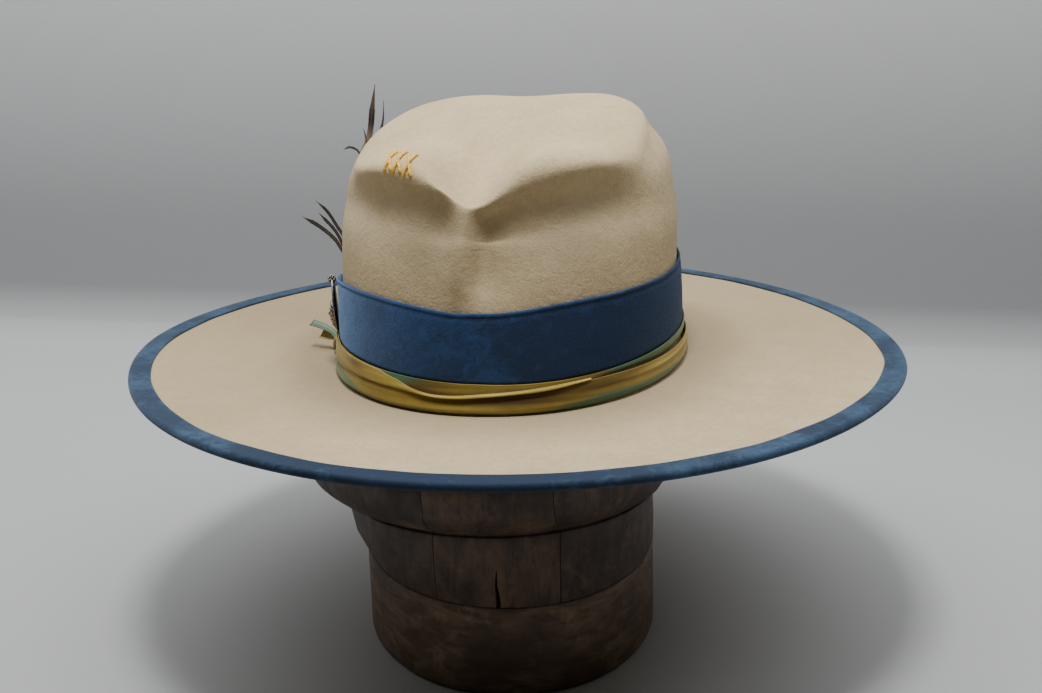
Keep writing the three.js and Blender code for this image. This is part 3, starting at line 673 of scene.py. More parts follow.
# Plant-dyed silk ribbon: soft satin, ochre with sage green where the second dye ran along its edges, and
# blotches and patches of brown dye; the brown marks also carry painted shade, the pale ones painted
# highlights
def makeSilk():
    look = {"ochre": "#8d7730", "green": "#3c6049", "brown": "#4c3818", "pale": "#b9a44c",
            "blotchMm": 9, "threadMm": 0.5}
    values = {"Roughness": 0.42, "Specular IOR Level": 0.45, "Sheen Weight": 0.15,
              "Sheen Tint": toLinear("#f0e3b0")}
    material, tree, shader = startMaterial("plantDyedSilk", values)
    where = addNode(tree, "TexCoord").outputs["Object"]
    blotch = addNoise(tree, where, look["blotchMm"], Detail=3.0)
    colour = addMix(tree, addRange(tree, blotch, 0.35, 0.75, end=0.35), look["ochre"], look["brown"])
    for key in ("brown", "pale", "green"):
        colour = addMix(tree, addMark(tree, key), colour, look[key])
    setColour(tree, shader, colour)
    setBump(tree, shader, addNoise(tree, where, look["threadMm"], Detail=1.0), 0.2, 0.0002)
    return material


# The ribbon's two strands. Seam is the height of the line between them; out is the distance from the felt
# at the upper edge of the lower strand, and at the lower edge and the middle of the upper one.
strandColumns = ("at", "seam", "lowerTopOut", "upperLowOut", "upperMidOut", "greenTo")
strandRows = [
    (-180, 8.6, 3.0, 3.0, 3.0, 3.5),
    (-110, 8.2, 3.0, 3.1, 3.1, 4.5),
    (-75, 8.0, 3.0, 3.1, 3.2, 7.0),
    (-49, 8.2, 3.0, 3.2, 3.2, 7.4),
    (-40, 9.4, 3.0, 3.2, 3.2, 5.2),
    (-28, 9.7, 2.9, 3.2, 3.1, 1.9),
    (-16, 9.3, 2.7, 3.3, 2.8, 1.4),
    (-9, 8.1, 2.3, 3.6, 2.5, 1.0),
    (0, 8.3, 2.0, 3.7, 2.3, 0.9),
    (10, 9.8, 2.0, 3.7, 2.3, 1.0),
    (20, 10.8, 2.2, 3.5, 2.4, 1.6),
    (30, 12.4, 2.8, 3.1, 2.5, 4.4),
    (40, 12.9, 3.4, 2.4, 2.4, 5.0),
    (60, 12.4, 3.6, 2.2, 2.3, 4.4),
    (80, 12.0, 3.6, 2.2, 2.3, 4.0),
    (110, 11.0, 3.4, 2.5, 2.6, 3.5),
    (150, 9.4, 3.1, 2.9, 2.9, 3.0),
]
strandTable = columnsOf(strandColumns, strandRows)
crossColumns = ("at", "top")  # the strand that crosses over, from the left down to the front
crossRows = [(-80, 16.9), (-43, 17.1), (-36, 17.0), (-31, 16.9), (-26, 16.3), (-22.6, 14.7), (-19, 13.4),
             (-16, 11.7), (-13, 10.3), (-10, 9.4), (-4, 9.2), (4, 10.3), (14, 11.6), (24, 12.9), (32, 13.4)]
crossTable = columnsOf(crossColumns, crossRows)
ribbon = {
    "thick": 0.4,
    "around": 720,
    "across": 30,
    "length": 580.0,
    "lowWidth": 10.0,
    "highWidth": 12.0,
    "lowOut": (1.7, 3.2, 3.5),  # of the lower strand: at its foot, just above it and halfway up
    "highTopOut": 2.5,
    "clear": 0.15,  # from the seam, for each strand
    "underBand": 0.12,
}


def strandValue(key, degrees):
    return splineRound(strandTable["at"], strandTable[key], degrees)[:, 0]


# A thin strip round the crown: rows from its lower to its upper edge, out and height for each angle
def stripRings(degrees, outs, heights):
    outs, heights = np.array(outs), np.array(heights)
    face = besideWall(np.broadcast_to(degrees, outs.shape), outs, heights)
    back = besideWall(np.broadcast_to(degrees, outs.shape), outs - ribbon["thick"], heights)
    return np.concatenate([face, back[::-1]]).transpose(1, 0, 2)


def silkMarks(degrees, heights, kind):
    count = len(heights)
    angle = np.broadcast_to(degrees, (count, len(degrees)))
    height = np.array(heights)
    seam = strandValue("seam", degrees)
    greenTo = strandValue("greenTo", degrees)
    place = noiseCircle(angle, height * 0.7).reshape(-1, 3)
    streaks = noiseAt(place * [1, 1, 3], 2.2, 31).reshape(angle.shape)
    if kind == "lower":
        green = 1 - smoothStep(height - greenTo + 1.5 * streaks, -1.3, 1.6)
        # Painted shade, as brown, in the trough below the upper strand's fold
        troughShade = sag(angle, 14, 22) * smoothStep(height, 3.2, 6.0)
        ochreFold = 0.6 * sag(angle, 38, 9) * sag(height, 9.5, 2.2)
        brown = np.clip(1.0 * troughShade + ochreFold + 0.3 * sag(angle, -26, 8) * sag(height, 5.5, 2), 0, 1)
        # Painted highlights: along the upper edge on the right, and a streak on the bulge near the foot
        shine = 0.9 * smoothStep(angle, 46, 62) * sag(height, seam - 2.2, 1.3)
        pale = np.clip(shine + 0.35 * sag(angle, 6, 16) * sag(height, 2.3, 1.1), 0, 1)
    elif kind == "upper":
        left = sag(angle, -19, 7) * smoothStep(height, 11.0, 14.6)
        green = np.clip(left + smoothStep(angle, 33, 43) * (1 - smoothStep(angle, 150, 175)), 0, 1)
        # Painted shade, as brown, low on the strand by the seam and by the crossing strand's edge; a painted
        # highlight along the top under the band
        low = 1 - smoothStep(height - seam, 1.0, 3.6)
        brown = np.clip(0.75 * low + 0.8 * sag(angle, -14, 9), 0, 1)
        pale = 0.5 * sag(angle, 14, 14) * smoothStep(height - bandBottom(degrees), -2.2, -0.4)
    else:
        green = 0 * height
        patch = 0.8 * sag(angle, -37, 5) * sag(height, 14.3, 2.0) + 0.3 * sag(angle, -58, 6)
        brown = np.clip(patch + 0.25 * streaks, 0, 1)
        # A painted highlight on the fold at the front; further to the left a paler yellow
        foldHighlight = smoothStep(angle, -13, -7)
        pale = np.clip(0.85 * foldHighlight + 0.45 * smoothStep(angle, -36, -22) * (1 - foldHighlight), 0, 1)
    marks = {"green": green, "brown": brown, "pale": pale}
    return {key: np.concatenate([values, values[::-1]]).T.ravel() for key, values in marks.items()}


def makeStrands(material):
    degrees = degreesRound(ribbon["around"])
    unit = noiseCircle(degrees)
    full = np.ones(len(degrees))
    seam = strandValue("seam", degrees)
    across = np.linspace(0, 1, ribbon["across"])
    crease, foot = seam * 0.72, 0.55
    lowerOuts = np.stack([*(out * full for out in ribbon["lowOut"]), strandValue("lowerTopOut", degrees)])
    outs, heights = [], []
    for part in across:
        height = foot + (seam - ribbon["clear"] - foot) * part
        out = spline((0, 0.14, 0.5, 1), lowerOuts, [part])[0]
        ridge = 0.28 * sag(height, crease, 0.7) * smoothStep(degrees, 28, 36)
        slit = 0.5 * sag(degrees, -31, 4) * smoothStep(part, 0.85, 1.0)
        ripple = 0.16 * noiseAt(np.column_stack([unit[:, :2] * 0.8, height]), 1.7, 41)
        outs.append(out + ridge - slit + ripple)
        heights.append(height)
    faces = ringFaces(len(degrees), 2 * len(across), closed=True)
    low = meshObject("silkStrandLower", stripRings(degrees, outs, heights).reshape(-1, 3), faces, material,
                     hatPlace, silkMarks(degrees, heights, "lower"))

    upper = Shapes()
    outs, heights = [], []
    bottom, top = seam + ribbon["clear"], bandBottom(degrees) - ribbon["underBand"]
    upperOuts = np.stack([strandValue("upperLowOut", degrees) - 0.45, strandValue("upperMidOut", degrees),
                          ribbon["highTopOut"] * full])
    for part in across:
        height = bottom + (top - bottom) * part
        ripple = 0.14 * noiseAt(np.column_stack([unit[:, :2] * 0.8, height]), 1.5, 42)
        outs.append(spline((0, 0.5, 1), upperOuts, [part])[0] + ripple)
        heights.append(height)
    upper.add(stripRings(degrees, outs, heights).reshape(-1, 3), faces,
              **silkMarks(degrees, heights, "upper"))

    crossing = np.linspace(crossRows[0][0], crossRows[-1][0], 360)
    unit = noiseCircle(crossing)
    seamHere = strandValue("seam", crossing)
    topHere = np.minimum(spline(crossTable["at"], crossTable["top"], crossing)[:, 0],
                         bandBottom(crossing) - ribbon["underBand"])
    base = strandValue("upperLowOut", crossing)
    outs, heights = [], []
    for part in np.linspace(0, 1, 16):
        height = seamHere - 0.05 + (topHere - seamHere + 0.05) * part
        crownOf = 0.35 * math.sin(math.pi * min(1, 0.15 + part))
        ripple = 0.12 * noiseAt(np.column_stack([unit[:, :2] * 0.8, height]), 1.5, 43)
        outs.append(base + 0.1 + crownOf + ripple)
        heights.append(height)
    rings = stripRings(crossing, outs, heights)
    marks = silkMarks(crossing, heights, "cross")
    marks = {key: np.concatenate([values, values[:2]]) for key, values in marks.items()}
    upper.add(cappedPoints(rings), cappedFaces(*rings.shape[:2]), **marks)
    high = upper.build("silkStrandUpper", material, hatPlace)
    finishPiece(low, "ribbon_wrap_lower")
    finishPiece(high, "ribbon_wrap_upper")


silk = makeSilk()
makeStrands(silk)
print("ribbon made")


# A smooth line along a route: points on it, its direction, the side and the face at each, and the length
# so far
def followRoute(route, facing, steps):
    route = np.asarray(route, float)
    reach = np.concatenate([[0], np.cumsum(np.linalg.norm(np.diff(route, axis=0), axis=1))])
    at = np.linspace(0, reach[-1], steps)
    line = spline(reach, route, at)
    along = np.gradient(line, axis=0)
    along /= np.linalg.norm(along, axis=1)[:, None]
    side = np.cross(along, np.asarray(facing, float))
    side /= np.linalg.norm(side, axis=1)[:, None]
    return line, along, side, np.cross(side, along), at


# A strip of cloth along a route in space, curled a little across, with a thickness
def routeStrip(route, width, facing, seed, steps=40, across=9):
    line, along, side, normal, at = followRoute(route, facing, steps)
    widths = width * np.interp(at / at[-1], (0, 1), tie["taper"])
    thick = ribbon["thick"]
    rings = []
    for s in range(steps):
        us = np.linspace(-1, 1, across)
        bend = tie["curl"] * (us ** 2 - 0.4) * (1 + 0.5 * noise.noise(Vector((s * 0.22, seed, 0))))
        shift = tie["fray"] * (s == steps - 1) * np.array([noise.noise(Vector((u * 4, seed, 3))) for u in us])
        face = line[s] + us[:, None] * side[s] * widths[s] / 2 + bend[:, None] * normal[s]
        face = face + shift[:, None] * along[s]
        rings.append(np.concatenate([face + normal[s] * thick / 2, (face - normal[s] * thick / 2)[::-1]]))
    return np.array(rings)


# The tie: a knot drawn tight beside the brooch and its two cut tails, one on its green side
tie = {
    "knotCentre": (-89.6, -16, 5.2),
    "knotSize": (1.8, 3.0, 4.0),
    "flat": (12.0, 22.0),
    "taper": (0.5, 1.0),  # shares of a tail's width at the knot and at its end
    "curl": 0.7,
    "fray": 1.2,
    "tails": [
        {"route": [(-89.6, -15, 6.5), (-93.5, -10, 9.0), (-99.0, -8.5, 11.3), (-105.8, -8, 13.4)],
         "width": 5.6, "facing": (0.2, -0.3, 1), "green": 0.85, "brown": 0.75, "pale": 0.0, "seed": 1},
        # The second tail's pale mark is painted light, on a tail that lies in the shade of the first
        {"route": [(-89.6, -15, 5.0), (-92.5, -10, 6.2), (-96.2, -8.5, 6.6), (-100.8, -8, 7.6)],
         "width": 5.6, "facing": (0.2, -0.6, 0.8), "green": 0.0, "brown": 0.0, "pale": 0.5, "seed": 2},
    ],
}


def ellipsoid(centre, size, rounds=24, ups=14, pleats=0.0, pleatCount=7):
    rings = []
    for v in np.linspace(0, 1, ups + 2)[1:-1]:
        lat = math.pi * (v - 0.5)
        turn = np.arange(rounds) * 2 * math.pi / rounds
        swell = 1 + pleats * np.sin(pleatCount * turn + 2 * v)
        ring = np.stack([math.cos(lat) * np.cos(turn) * swell, math.cos(lat) * np.sin(turn) * swell,
                         np.full(rounds, math.sin(lat))], -1)
        rings.append(ring * size + centre)
    centre, size = np.array(centre), np.array(size)
    start, end = centre - size * [0, 0, 1], centre + size * [0, 0, 1]
    return cappedPoints(rings, start, end), cappedFaces(len(rings), rounds)


def makeTie(material):
    shape = Shapes()
    points, faces = ellipsoid(tie["knotCentre"], tie["knotSize"], pleats=0.12)
    low = points[:, 2] < tie["knotCentre"][2]
    shape.add(points, faces, green=0.6 * low, brown=0.3, pale=0.0)
    for tail in tie["tails"]:
        rings = routeStrip(tail["route"], tail["width"], tail["facing"], tail["seed"])
        shape.add(cappedPoints(rings), cappedFaces(*rings.shape[:2]), green=tail["green"],
                  brown=tail["brown"], pale=tail["pale"])
    piece = shape.build("silkTie", material, hatPlace)
    return finishPiece(piece, "ribbon_tie")


makeTie(silk)
print("tie made")


# The brooch: sheet silver with a wire rim, a filigree dome and a tip of granules, blackened in its recesses
brooch = {
    "at": -67,
    "middle": 31.2,
    "lean": 2.6,
    "standOff": 3.2,
    "height": 27.0,
    "width": 17.5,
    "thick": 1.0,
    "domeHalf": (3.0, 7.0, 7.8),
    "domeBelow": 4.6,
    "tipAbove": 0.6,
    "wire": 0.32,
}


# Silver, hammered flat and soldered, then blackened and rubbed back: bright on what stands proud
def makeSilver():
    look = {"bright": "#a8a49a", "black": "#1f1b1a", "rubMm": 1.6}
    material, tree, shader = startMaterial("oxidisedSilver", {"Metallic": 1.0, "Roughness": 0.34})
    where = addNode(tree, "TexCoord").outputs["Object"]
    rub = addNoise(tree, where, look["rubMm"], Detail=3.0)
    total = addMath(tree, "ADD", addMath(tree, "SUBTRACT", rub, 0.3), addMark(tree, "recess"), clamp=True)
    setColour(tree, shader, addMix(tree, total, look["bright"], look["black"]))
    setBump(tree, shader, rub, 0.3, 0.0001)
    return material


# A round wire along a closed or open line of points
def wireRings(line, radius, sides=6, closed=False):
    line = np.asarray(line, float)
    if closed:
        along = np.roll(line, -1, axis=0) - np.roll(line, 1, axis=0)
    else:
        along = np.gradient(line, axis=0)
    along /= np.maximum(np.linalg.norm(along, axis=1), 1e-9)[:, None]
    helper = np.where(np.abs(along[:, :1]) < 0.8, [[1.0, 0, 0]], [[0, 1.0, 0]])
    first = np.cross(along, helper)
    first /= np.linalg.norm(first, axis=1)[:, None]
    second = np.cross(along, first)
    turns = np.arange(sides) * 2 * math.pi / sides
    radius = np.broadcast_to(np.asarray(radius, float), (len(line),))
    return line[:, None] + radius[:, None, None] * (
        np.cos(turns)[None, :, None] * first[:, None] + np.sin(turns)[None, :, None] * second[:, None])


def addWire(shape, line, radius, sides=6, closed=False, **marks):
    rings = wireRings(line, radius, sides, closed)
    if closed:
        shape.add(rings.reshape(-1, 3), ringFaces(*rings.shape[:2], closed=True), **marks)
    else:
        shape.add(cappedPoints(rings), cappedFaces(*rings.shape[:2]), **marks)


def plateOutline(count, scale=1.0):
    turns = np.arange(count) * 2 * math.pi / count
    up = np.cos(turns)
    narrow = np.where(up > 0, 1 - 0.45 * np.abs(up) ** 1.5, 1 - 0.12 * up ** 2)
    across = np.sin(turns) * brooch["width"] / 2 * narrow
    return np.stack([np.zeros(count), across, up * brooch["height"] / 2], -1) * [1, scale, scale]


def makeBrooch(material):
    shape = Shapes()
    outline = plateOutline(64)
    thick = brooch["thick"]
    section = ((0, 0.97), (0.15, 1), (thick - 0.15, 1), (thick, 0.96))
    plate = [outline * [1, s, s] + [x, 0, 0] for x, s in section]
    shape.add(cappedPoints(plate), cappedFaces(4, 64), recess=0.75)
    rim = outline * [1, 0.97, 0.97] + [thick, 0, 0]
    addWire(shape, rim, 0.45, closed=True, recess=0.1)
    dome, (out, along, up) = [0.5 * thick, 0, -brooch["domeBelow"]], brooch["domeHalf"]
    rings = []
    for lat in np.linspace(2, 84, 14):
        c, s = math.cos(math.radians(lat)), math.sin(math.radians(lat))
        turn = np.arange(40) * 2 * math.pi / 40
        ring = np.stack([np.full(40, out * s), along * c * np.cos(turn), up * c * np.sin(turn)], -1)
        rings.append(ring + dome)
    shape.add(cappedPoints(rings), cappedFaces(14, 40), recess=0.9)

    def onDome(theta, lat, lift=0.1):
        c, s = np.cos(np.radians(lat)), np.sin(np.radians(lat))
        place = [(out + lift) * s, (along + lift) * c * np.cos(theta), (up + lift) * c * np.sin(theta)]
        return np.stack(place, -1) + dome

    for lat in (4, 30, 56):
        theta = np.linspace(0, 2 * math.pi, 60, endpoint=False)
        addWire(shape, onDome(theta, np.full(60, lat)), brooch["wire"], closed=True, recess=0.0)
    for k in range(12):
        theta = np.linspace(0, 1, 22)
        curl = 2 * math.pi * k / 12 + 0.42 * np.sin(theta * 2 * math.pi)
        addWire(shape, onDome(curl, 6 + 70 * theta), 0.24, sides=5, recess=0.0)
    for lat, beads in ((17, 22), (43, 16), (68, 8)):
        for k in range(beads):
            centre = onDome(np.array([2 * math.pi * (k + 0.5) / beads]), np.array([lat]), 0.2)[0]
            points, faces = ellipsoid(centre, (0.5, 0.5, 0.5), 8, 5)
            shape.add(points, faces, recess=0.0)
    points, faces = ellipsoid(onDome(np.array([0.0]), np.array([90.0]), 0.2)[0], (1.0, 1.3, 1.3), 16, 9)
    shape.add(points, faces, recess=0.0)
    tip = np.array([thick, 0, brooch["height"] / 2 - brooch["tipAbove"]])
    points, faces = ellipsoid(tip, (1.5, 1.5, 1.5), 16, 9)
    shape.add(points, faces, recess=0.7)
    for k in range(26):  # granules spread evenly over the tip
        z = 1 - 2 * (k + 0.5) / 26
        turn = k * math.pi * (3 - math.sqrt(5))
        spot = tip + 1.75 * np.array([math.sqrt(1 - z * z) * math.cos(turn),
                                      math.sqrt(1 - z * z) * math.sin(turn), z])
        points, faces = ellipsoid(spot, (0.55, 0.55, 0.55), 8, 5)
        shape.add(points, faces, recess=0.0)
    seat = besideWall(brooch["at"], 0, brooch["middle"])
    beside = besideWall(brooch["at"] + 1, 0, brooch["middle"]) - seat
    outward = math.atan2(-beside[0], beside[1])
    turn = Matrix.Rotation(outward, 4, "Z") @ Matrix.Rotation(math.radians(brooch["lean"]), 4, "Y")
    seat = seat + np.array([math.cos(outward), math.sin(outward), 0]) * brooch["standOff"]
    for i, points in enumerate(shape.points):
        shape.points[i] = points @ np.array(turn.to_3x3()).T + seat
    piece = shape.build("silverBrooch", material, hatPlace)
    return finishPiece(piece, "brooch")


makeBrooch(makeSilver())
print("brooch made")


# The feathers: a long barred tail feather, a slim one, a wisp, a curl and three hackles, bound at the quill
quillFoot = (-87.4, 2, 40)
barbs = {
    "perMm": 3.0,
    "stations": 60,  # along the quill
    "quill": (0.55, 0.16),  # radius at the foot and the tip
    "halfWide": 0.34,
    "halfThick": 0.07,
    "lean": 1.1,  # how far a barb points to the tip, for each mm it stands out
    "growOver": 0.18,
    "facing": (-0.35, -1.0, 0.15),
}
feathers = [
    {"width": 3.7, "bars": 4, "ragged": 0.2, "tone": 0.75, "from": 0.2,
     "route": [quillFoot, (-86.5, 8, 62), (-85.5, 14, 80), (-82.5, 20, 96), (-79.8, 26, 106),
               (-78.5, 28, 116), (-75.9, 28, 131.9)]},
    {"width": 1.6, "bars": 0, "ragged": 0.2, "tone": 0.15, "from": 0.3,
     "route": [quillFoot, (-86.0, 10, 62), (-84.5, 17, 80), (-81.0, 25, 96), (-75.0, 31, 108),
               (-72.9, 32, 123.2)]},
    {"width": 0.8, "bars": 0, "ragged": 0.6, "tone": 0.7, "from": 0.1,
     "route": [(-83.6, 18, 91), (-80.8, 24, 101.9), (-82.0, 24, 109.7)]},
    {"width": 1.2, "bars": 0, "ragged": 0.5, "tone": 0.3, "from": 0.1,
     "route": [(-84.2, 15, 87), (-82.6, 17, 94), (-83.2, 17, 99), (-86.0, 16, 101.2), (-88.5, 16, 101.2),
               (-90.8, 16, 100)]},
    {"width": 2.1, "bars": 0, "ragged": 0.5, "tone": 0.1, "from": 0.2,
     "route": [quillFoot, (-88.4, -4, 51.6), (-90.5, -4, 55.7), (-95.2, -4, 60.6), (-102.2, -4, 65.5),
               (-108.1, -4, 68.5)]},
    {"width": 1.8, "bars": 0, "ragged": 0.5, "tone": 0.1, "from": 0.2,
     "route": [quillFoot, (-88.3, -4, 56.3), (-91.2, -4, 61.7), (-94.9, -4, 66.1), (-99.2, -4, 70.7)]},
    {"width": 1.8, "bars": 0, "ragged": 0.5, "tone": 0.05, "from": 0.2,
     "route": [quillFoot, (-87.7, -4, 60.5), (-89.0, -4, 62.5), (-91.9, -4, 67.4), (-94.5, -4, 71.3),
               (-100.4, -4, 76.9)]},
]


# Natural tail and hackle feathers: horn-dull barbs, barred brown on near-black, with a faint pale sheen
def makeFeatherMaterial():
    look = {"brown": "#665242", "dark": "#191512", "grey": "#2a2d2b"}
    values = {"Roughness": 0.55, "Sheen Weight": 0.2, "Sheen Tint": toLinear("#b8b09c")}
    material, tree, shader = startMaterial("naturalFeather", values)
    base = addMix(tree, addMark(tree, "tone"), look["grey"], look["brown"])
    setColour(tree, shader, addMix(tree, addMark(tree, "bar"), base, look["dark"]))
    return material


# A feather: its quill and a row of flat barbs on each side, which lean towards the tip
def addFeather(shape, feather, seed):
    line, along, side, normal, at = followRoute(feather["route"], barbs["facing"], barbs["stations"])
    share = at / at[-1]
    addWire(shape, line, np.interp(share, (0, 1), barbs["quill"]), sides=6, tone=0.9, bar=0.2)
    count = int(at[-1] * barbs["perMm"])
    lastStep = barbs["stations"] - 1
    bars = feather["bars"]
    for k in range(count):
        t = feather["from"] + (1 - feather["from"]) * (k + 0.5) / count
        i = min(lastStep - 1, int(t * lastStep))
        onQuill = line[i] + (line[i + 1] - line[i]) * (t * lastStep - i)
        grow = smoothStep(t, feather["from"], feather["from"] + barbs["growOver"])
        narrow = max(0.12, (1 - t) * 6 if t > 0.85 else 1)
        for way in (1, -1):
            jitter = noise.noise(Vector((k * 0.9, way * 7.1, seed)))
            size = feather["width"] / 2 * grow * narrow * (1 + feather["ragged"] * jitter)
            root = onQuill + normal[i] * 0.05
            tip = root + side[i] * way * size + along[i] * size * barbs["lean"] + normal[i] * 0.12 * jitter
            middle = (root + tip) / 2 + along[i] * size * 0.12
            wide, thick = along[i] * barbs["halfWide"], normal[i] * barbs["halfThick"]
            outline = [root - wide, root + wide, middle + wide * 0.9, tip + wide * 0.3, tip - wide * 0.3,
                       middle - wide * 0.9]
            points = np.array([p + thick for p in outline] + [p - thick for p in outline])
            faces = [(0, 1, 2, 5), (5, 2, 3, 4), (7, 6, 11, 8), (8, 11, 10, 9)]
            faces += [(j, (j + 1) % 6, 6 + (j + 1) % 6, 6 + j) for j in range(6)]
            if bars:
                bar = (0.5 + 0.5 * math.sin(2 * math.pi * bars * t + 1.2 * jitter)) ** 2
            else:
                bar = 0.5 + 0.4 * jitter
            shape.add(points, faces, tone=feather["tone"] + 0.15 * jitter, bar=bar)


def makeFeathers(material):
    shape = Shapes()
    for seed, feather in enumerate(feathers):
        addFeather(shape, feather, seed)
    thread = [np.array(quillFoot) + [0, 0, z] for z in np.linspace(-3.5, 3.5, 8)]
    addWire(shape, thread, 1.5, sides=14, tone=0.2, bar=0.8)
    for z in np.linspace(-3.2, 3.2, 10):
        turn = np.linspace(0, 2 * math.pi, 20, endpoint=False)
        ring = np.stack([1.55 * np.cos(turn), 1.55 * np.sin(turn), np.full(20, z)], -1) + quillFoot
        addWire(shape, ring, 0.3, sides=6, closed=True, tone=0.3, bar=0.6)
    piece = shape.build("featherSpray", material, hatPlace, smooth=False)
    return finishPiece(piece, "feather_spray")


makeFeathers(makeFeatherMaterial())
print("feathers made")


# Mending stitches on the crown: three plain crosses of twisted thread, laid on the felt
stitches = {
    "centres": [(-38.6, -70, 107.2), (-33.6, -70, 105.2), (-28.2, -70, 102.6)],
    "tilt": 32,  # degrees the felt leans back there
    "halfHeight": 6.8,
    "halfWidth": 2.0,
    "thread": 0.75,
    "look": {"deep": "#c39212", "bright": "#f2c636", "twistMm": 0.8},
}


# Mercerised cotton thread: twisted plies, dyed one yellow, slightly lustrous
def makeThreadMaterial():
    look = stitches["look"]
    material, tree, shader = startMaterial("mercerisedCotton", {"Roughness": 0.6, "Sheen Weight": 0.2})
    where = addNode(tree, "TexCoord").outputs["Object"]
    twist = addRange(tree, addNoise(tree, where, look["twistMm"]), 0.35, 0.65)
    setColour(tree, shader, addMix(tree, twist, look["deep"], look["bright"]))
    return material


def makeStitches(material):
    mesh = feltHat.data
    tree = BVHTree.FromPolygons([v.co for v in mesh.vertices], [tuple(p.vertices) for p in mesh.polygons])
    shape = Shapes()

    tilt = math.radians(stitches["tilt"])
    inwards = np.array([0, math.cos(tilt), -math.sin(tilt)])
    upwards = np.array([0, math.sin(tilt), math.cos(tilt)])

    def onFelt(x, up, lift):
        start = np.array([x, 0, 0]) + upwards * up - inwards * 200
        place, normal, _, _ = tree.ray_cast(Vector((start + hatPlace) * metre), Vector(inwards))
        if place is None:
            return None
        return (np.array(place) / metre - hatPlace) + np.array(normal) * lift

    for centre in stitches["centres"]:
        x, up = centre[0], float(np.dot(centre, upwards))
        for slant in (1, -1):
            line = []
            for t in np.linspace(-1, 1, 19):
                dive = 0.9 * max(0.0, abs(t) - 0.9) / 0.1  # the ends of the thread go into the felt
                lift = 0.35 - dive + (0.5 * (1 - t * t) if slant > 0 else 0.1)
                spot = onFelt(x + slant * t * stitches["halfWidth"], up + t * stitches["halfHeight"], lift)
                if spot is not None:
                    line.append(spot)
            line = np.array(line)
            for strand in range(2):
                turn = np.arange(len(line)) * 1.1 + strand * math.pi
                shift = np.stack([0.2 * np.cos(turn), 0 * turn, 0.2 * np.sin(turn)], -1)
                addWire(shape, line + shift, stitches["thread"] * 0.72, sides=7)
    piece = shape.build("mendingStitches", material, hatPlace)
    return finishPiece(piece)


makeStitches(makeThreadMaterial())
print("stitches made")


# The stand: an old hat block of dark wood on its oval base
stand = {
    "turn": 15.0,
    "baseHeight": 46.8,
    "baseHalfWidth": 75.3,
    "baseHalfLength": 94.9,
    "footRound": 2.5,
    "gap": 0.3,
    "joints": (-16.5, 42.5),
    "plugRise": 28.0,
    "plugTaper": 0.94,
    "plugClear": 2.5,
    "around": 256,
    "baseWear": (0.25, 22, 51),  # how deep, how wide, noise seed
    "blockWear": (0.3, 20, 61),
}
blockColumns = ("z", "tip", "halfWidth", "halfLength", "shift")
blockRows = [
    (47.1, 0, 75.0, 94.6, 0),
    (48.6, 0.5, 75.6, 95.0, 0.2),
    (58, 5, 78.5, 96.5, 3.0),
    (68.6, 12.5, 79.5, 97.0, 4.3),
    (70.2, 13, 78.4, 95.9, 4.4),
    (71.6, 13, 78.8, 96.1, 4.4),
    (73.2, 13, 82.4, 98.6, 4.7),
    (75.4, 12.6, 85.6, 101.6, 5.6),
    (78.5, 12, 88.2, 104.2, 6.5),
    (87, 9, 94.0, 109.0, 8.0),
    (98, 5.6, 96.0, 110.4, 8.2),
    (108, 3, 96.0, 110.0, 8.0),
    (118, 0, 90.0, 105.0, 6.0),
]


# Old hardwood, turned and hand-carved, oiled and blackened by use: tight dark grain, rubbed lighter on the
# edges, dull scuffs and a few pale scratches
def makeWood(name, look):
    material, tree, shader = startMaterial(name, {"Specular IOR Level": 0.4})
    where = addNode(tree, "TexCoord").outputs["Object"]
    stretched = addNode(tree, "Mapping", {"Vector": where, "Scale": look["stretch"]}).outputs[0]
    grain = addNoise(tree, stretched, look["grainMm"], Detail=6.0, Roughness=0.7, Distortion=0.8)
    scuff = addNoise(tree, where, look["scuffMm"], Detail=5.0, Roughness=0.65)
    stain = addNoise(tree, where, look["stainMm"], Detail=3.0)
    base = addMix(tree, addRange(tree, grain, 0.35, 0.68), look["dark"], look["light"])
    rubbed = addMix(tree, addRange(tree, scuff, 0.54, 0.72, end=0.7), base, look["worn"])
    stained = addMix(tree, addRange(tree, stain, 0.45, 0.65, end=0.75), rubbed, look["stain"])
    setColour(tree, shader, stained)
    tree.links.new(addRange(tree, scuff, 0.3, 0.7, 0.48, 0.75), shader.inputs["Roughness"])
    setBump(tree, shader, addMath(tree, "ADD", grain, scuff), 0.35, 0.0008)
    return material


def turned(points):
    angle = math.radians(stand["turn"])
    x, y = points[..., 0], points[..., 1]
    return np.stack([x * math.cos(angle) - y * math.sin(angle),
                     x * math.sin(angle) + y * math.cos(angle), points[..., 2]], -1)


# Hollows and bumps that use has left in the sides
def roughened(points, amount, size, seed):
    flat = points.reshape(-1, 3)
    bump = (noiseAt(flat, size, seed) + 0.5 * noiseAt(flat, size / 3, seed + 1)).reshape(points.shape[:-1])
    outward = points * [1, 1, 0]
    outward = outward / np.maximum(np.linalg.norm(outward, axis=-1), 1e-6)[..., None]
    return points + outward * (bump * amount)[..., None]


def makeBase(material):
    degrees = degreesRound(stand["around"], 0)
    height, edge = stand["baseHeight"], stand["footRound"]
    rows = [(0, edge), (0.5, 1.2), (1.4, 0.4), (edge, 0)]
    rows += [(z, 0) for z in np.linspace(edge, height - 1.2, 14)[1:]]
    rows += [(height - 0.5, 0.15), (height - 0.1, 0.6), (height, 1.2)]
    rings = []
    for z, inset in rows:
        long = stand["baseHalfLength"] - inset
        reach = ovalReach(np.radians(degrees), stand["baseHalfWidth"] - inset, long, long, 2.0)
        rings.append(polar(degrees, reach, z))
    rings = turned(roughened(np.array(rings), *stand["baseWear"]))
    piece = meshObject("woodenBase", cappedPoints(rings), cappedFaces(len(rings), stand["around"]), material,
                       standPlace)
    return finishPiece(piece, "stand_base")


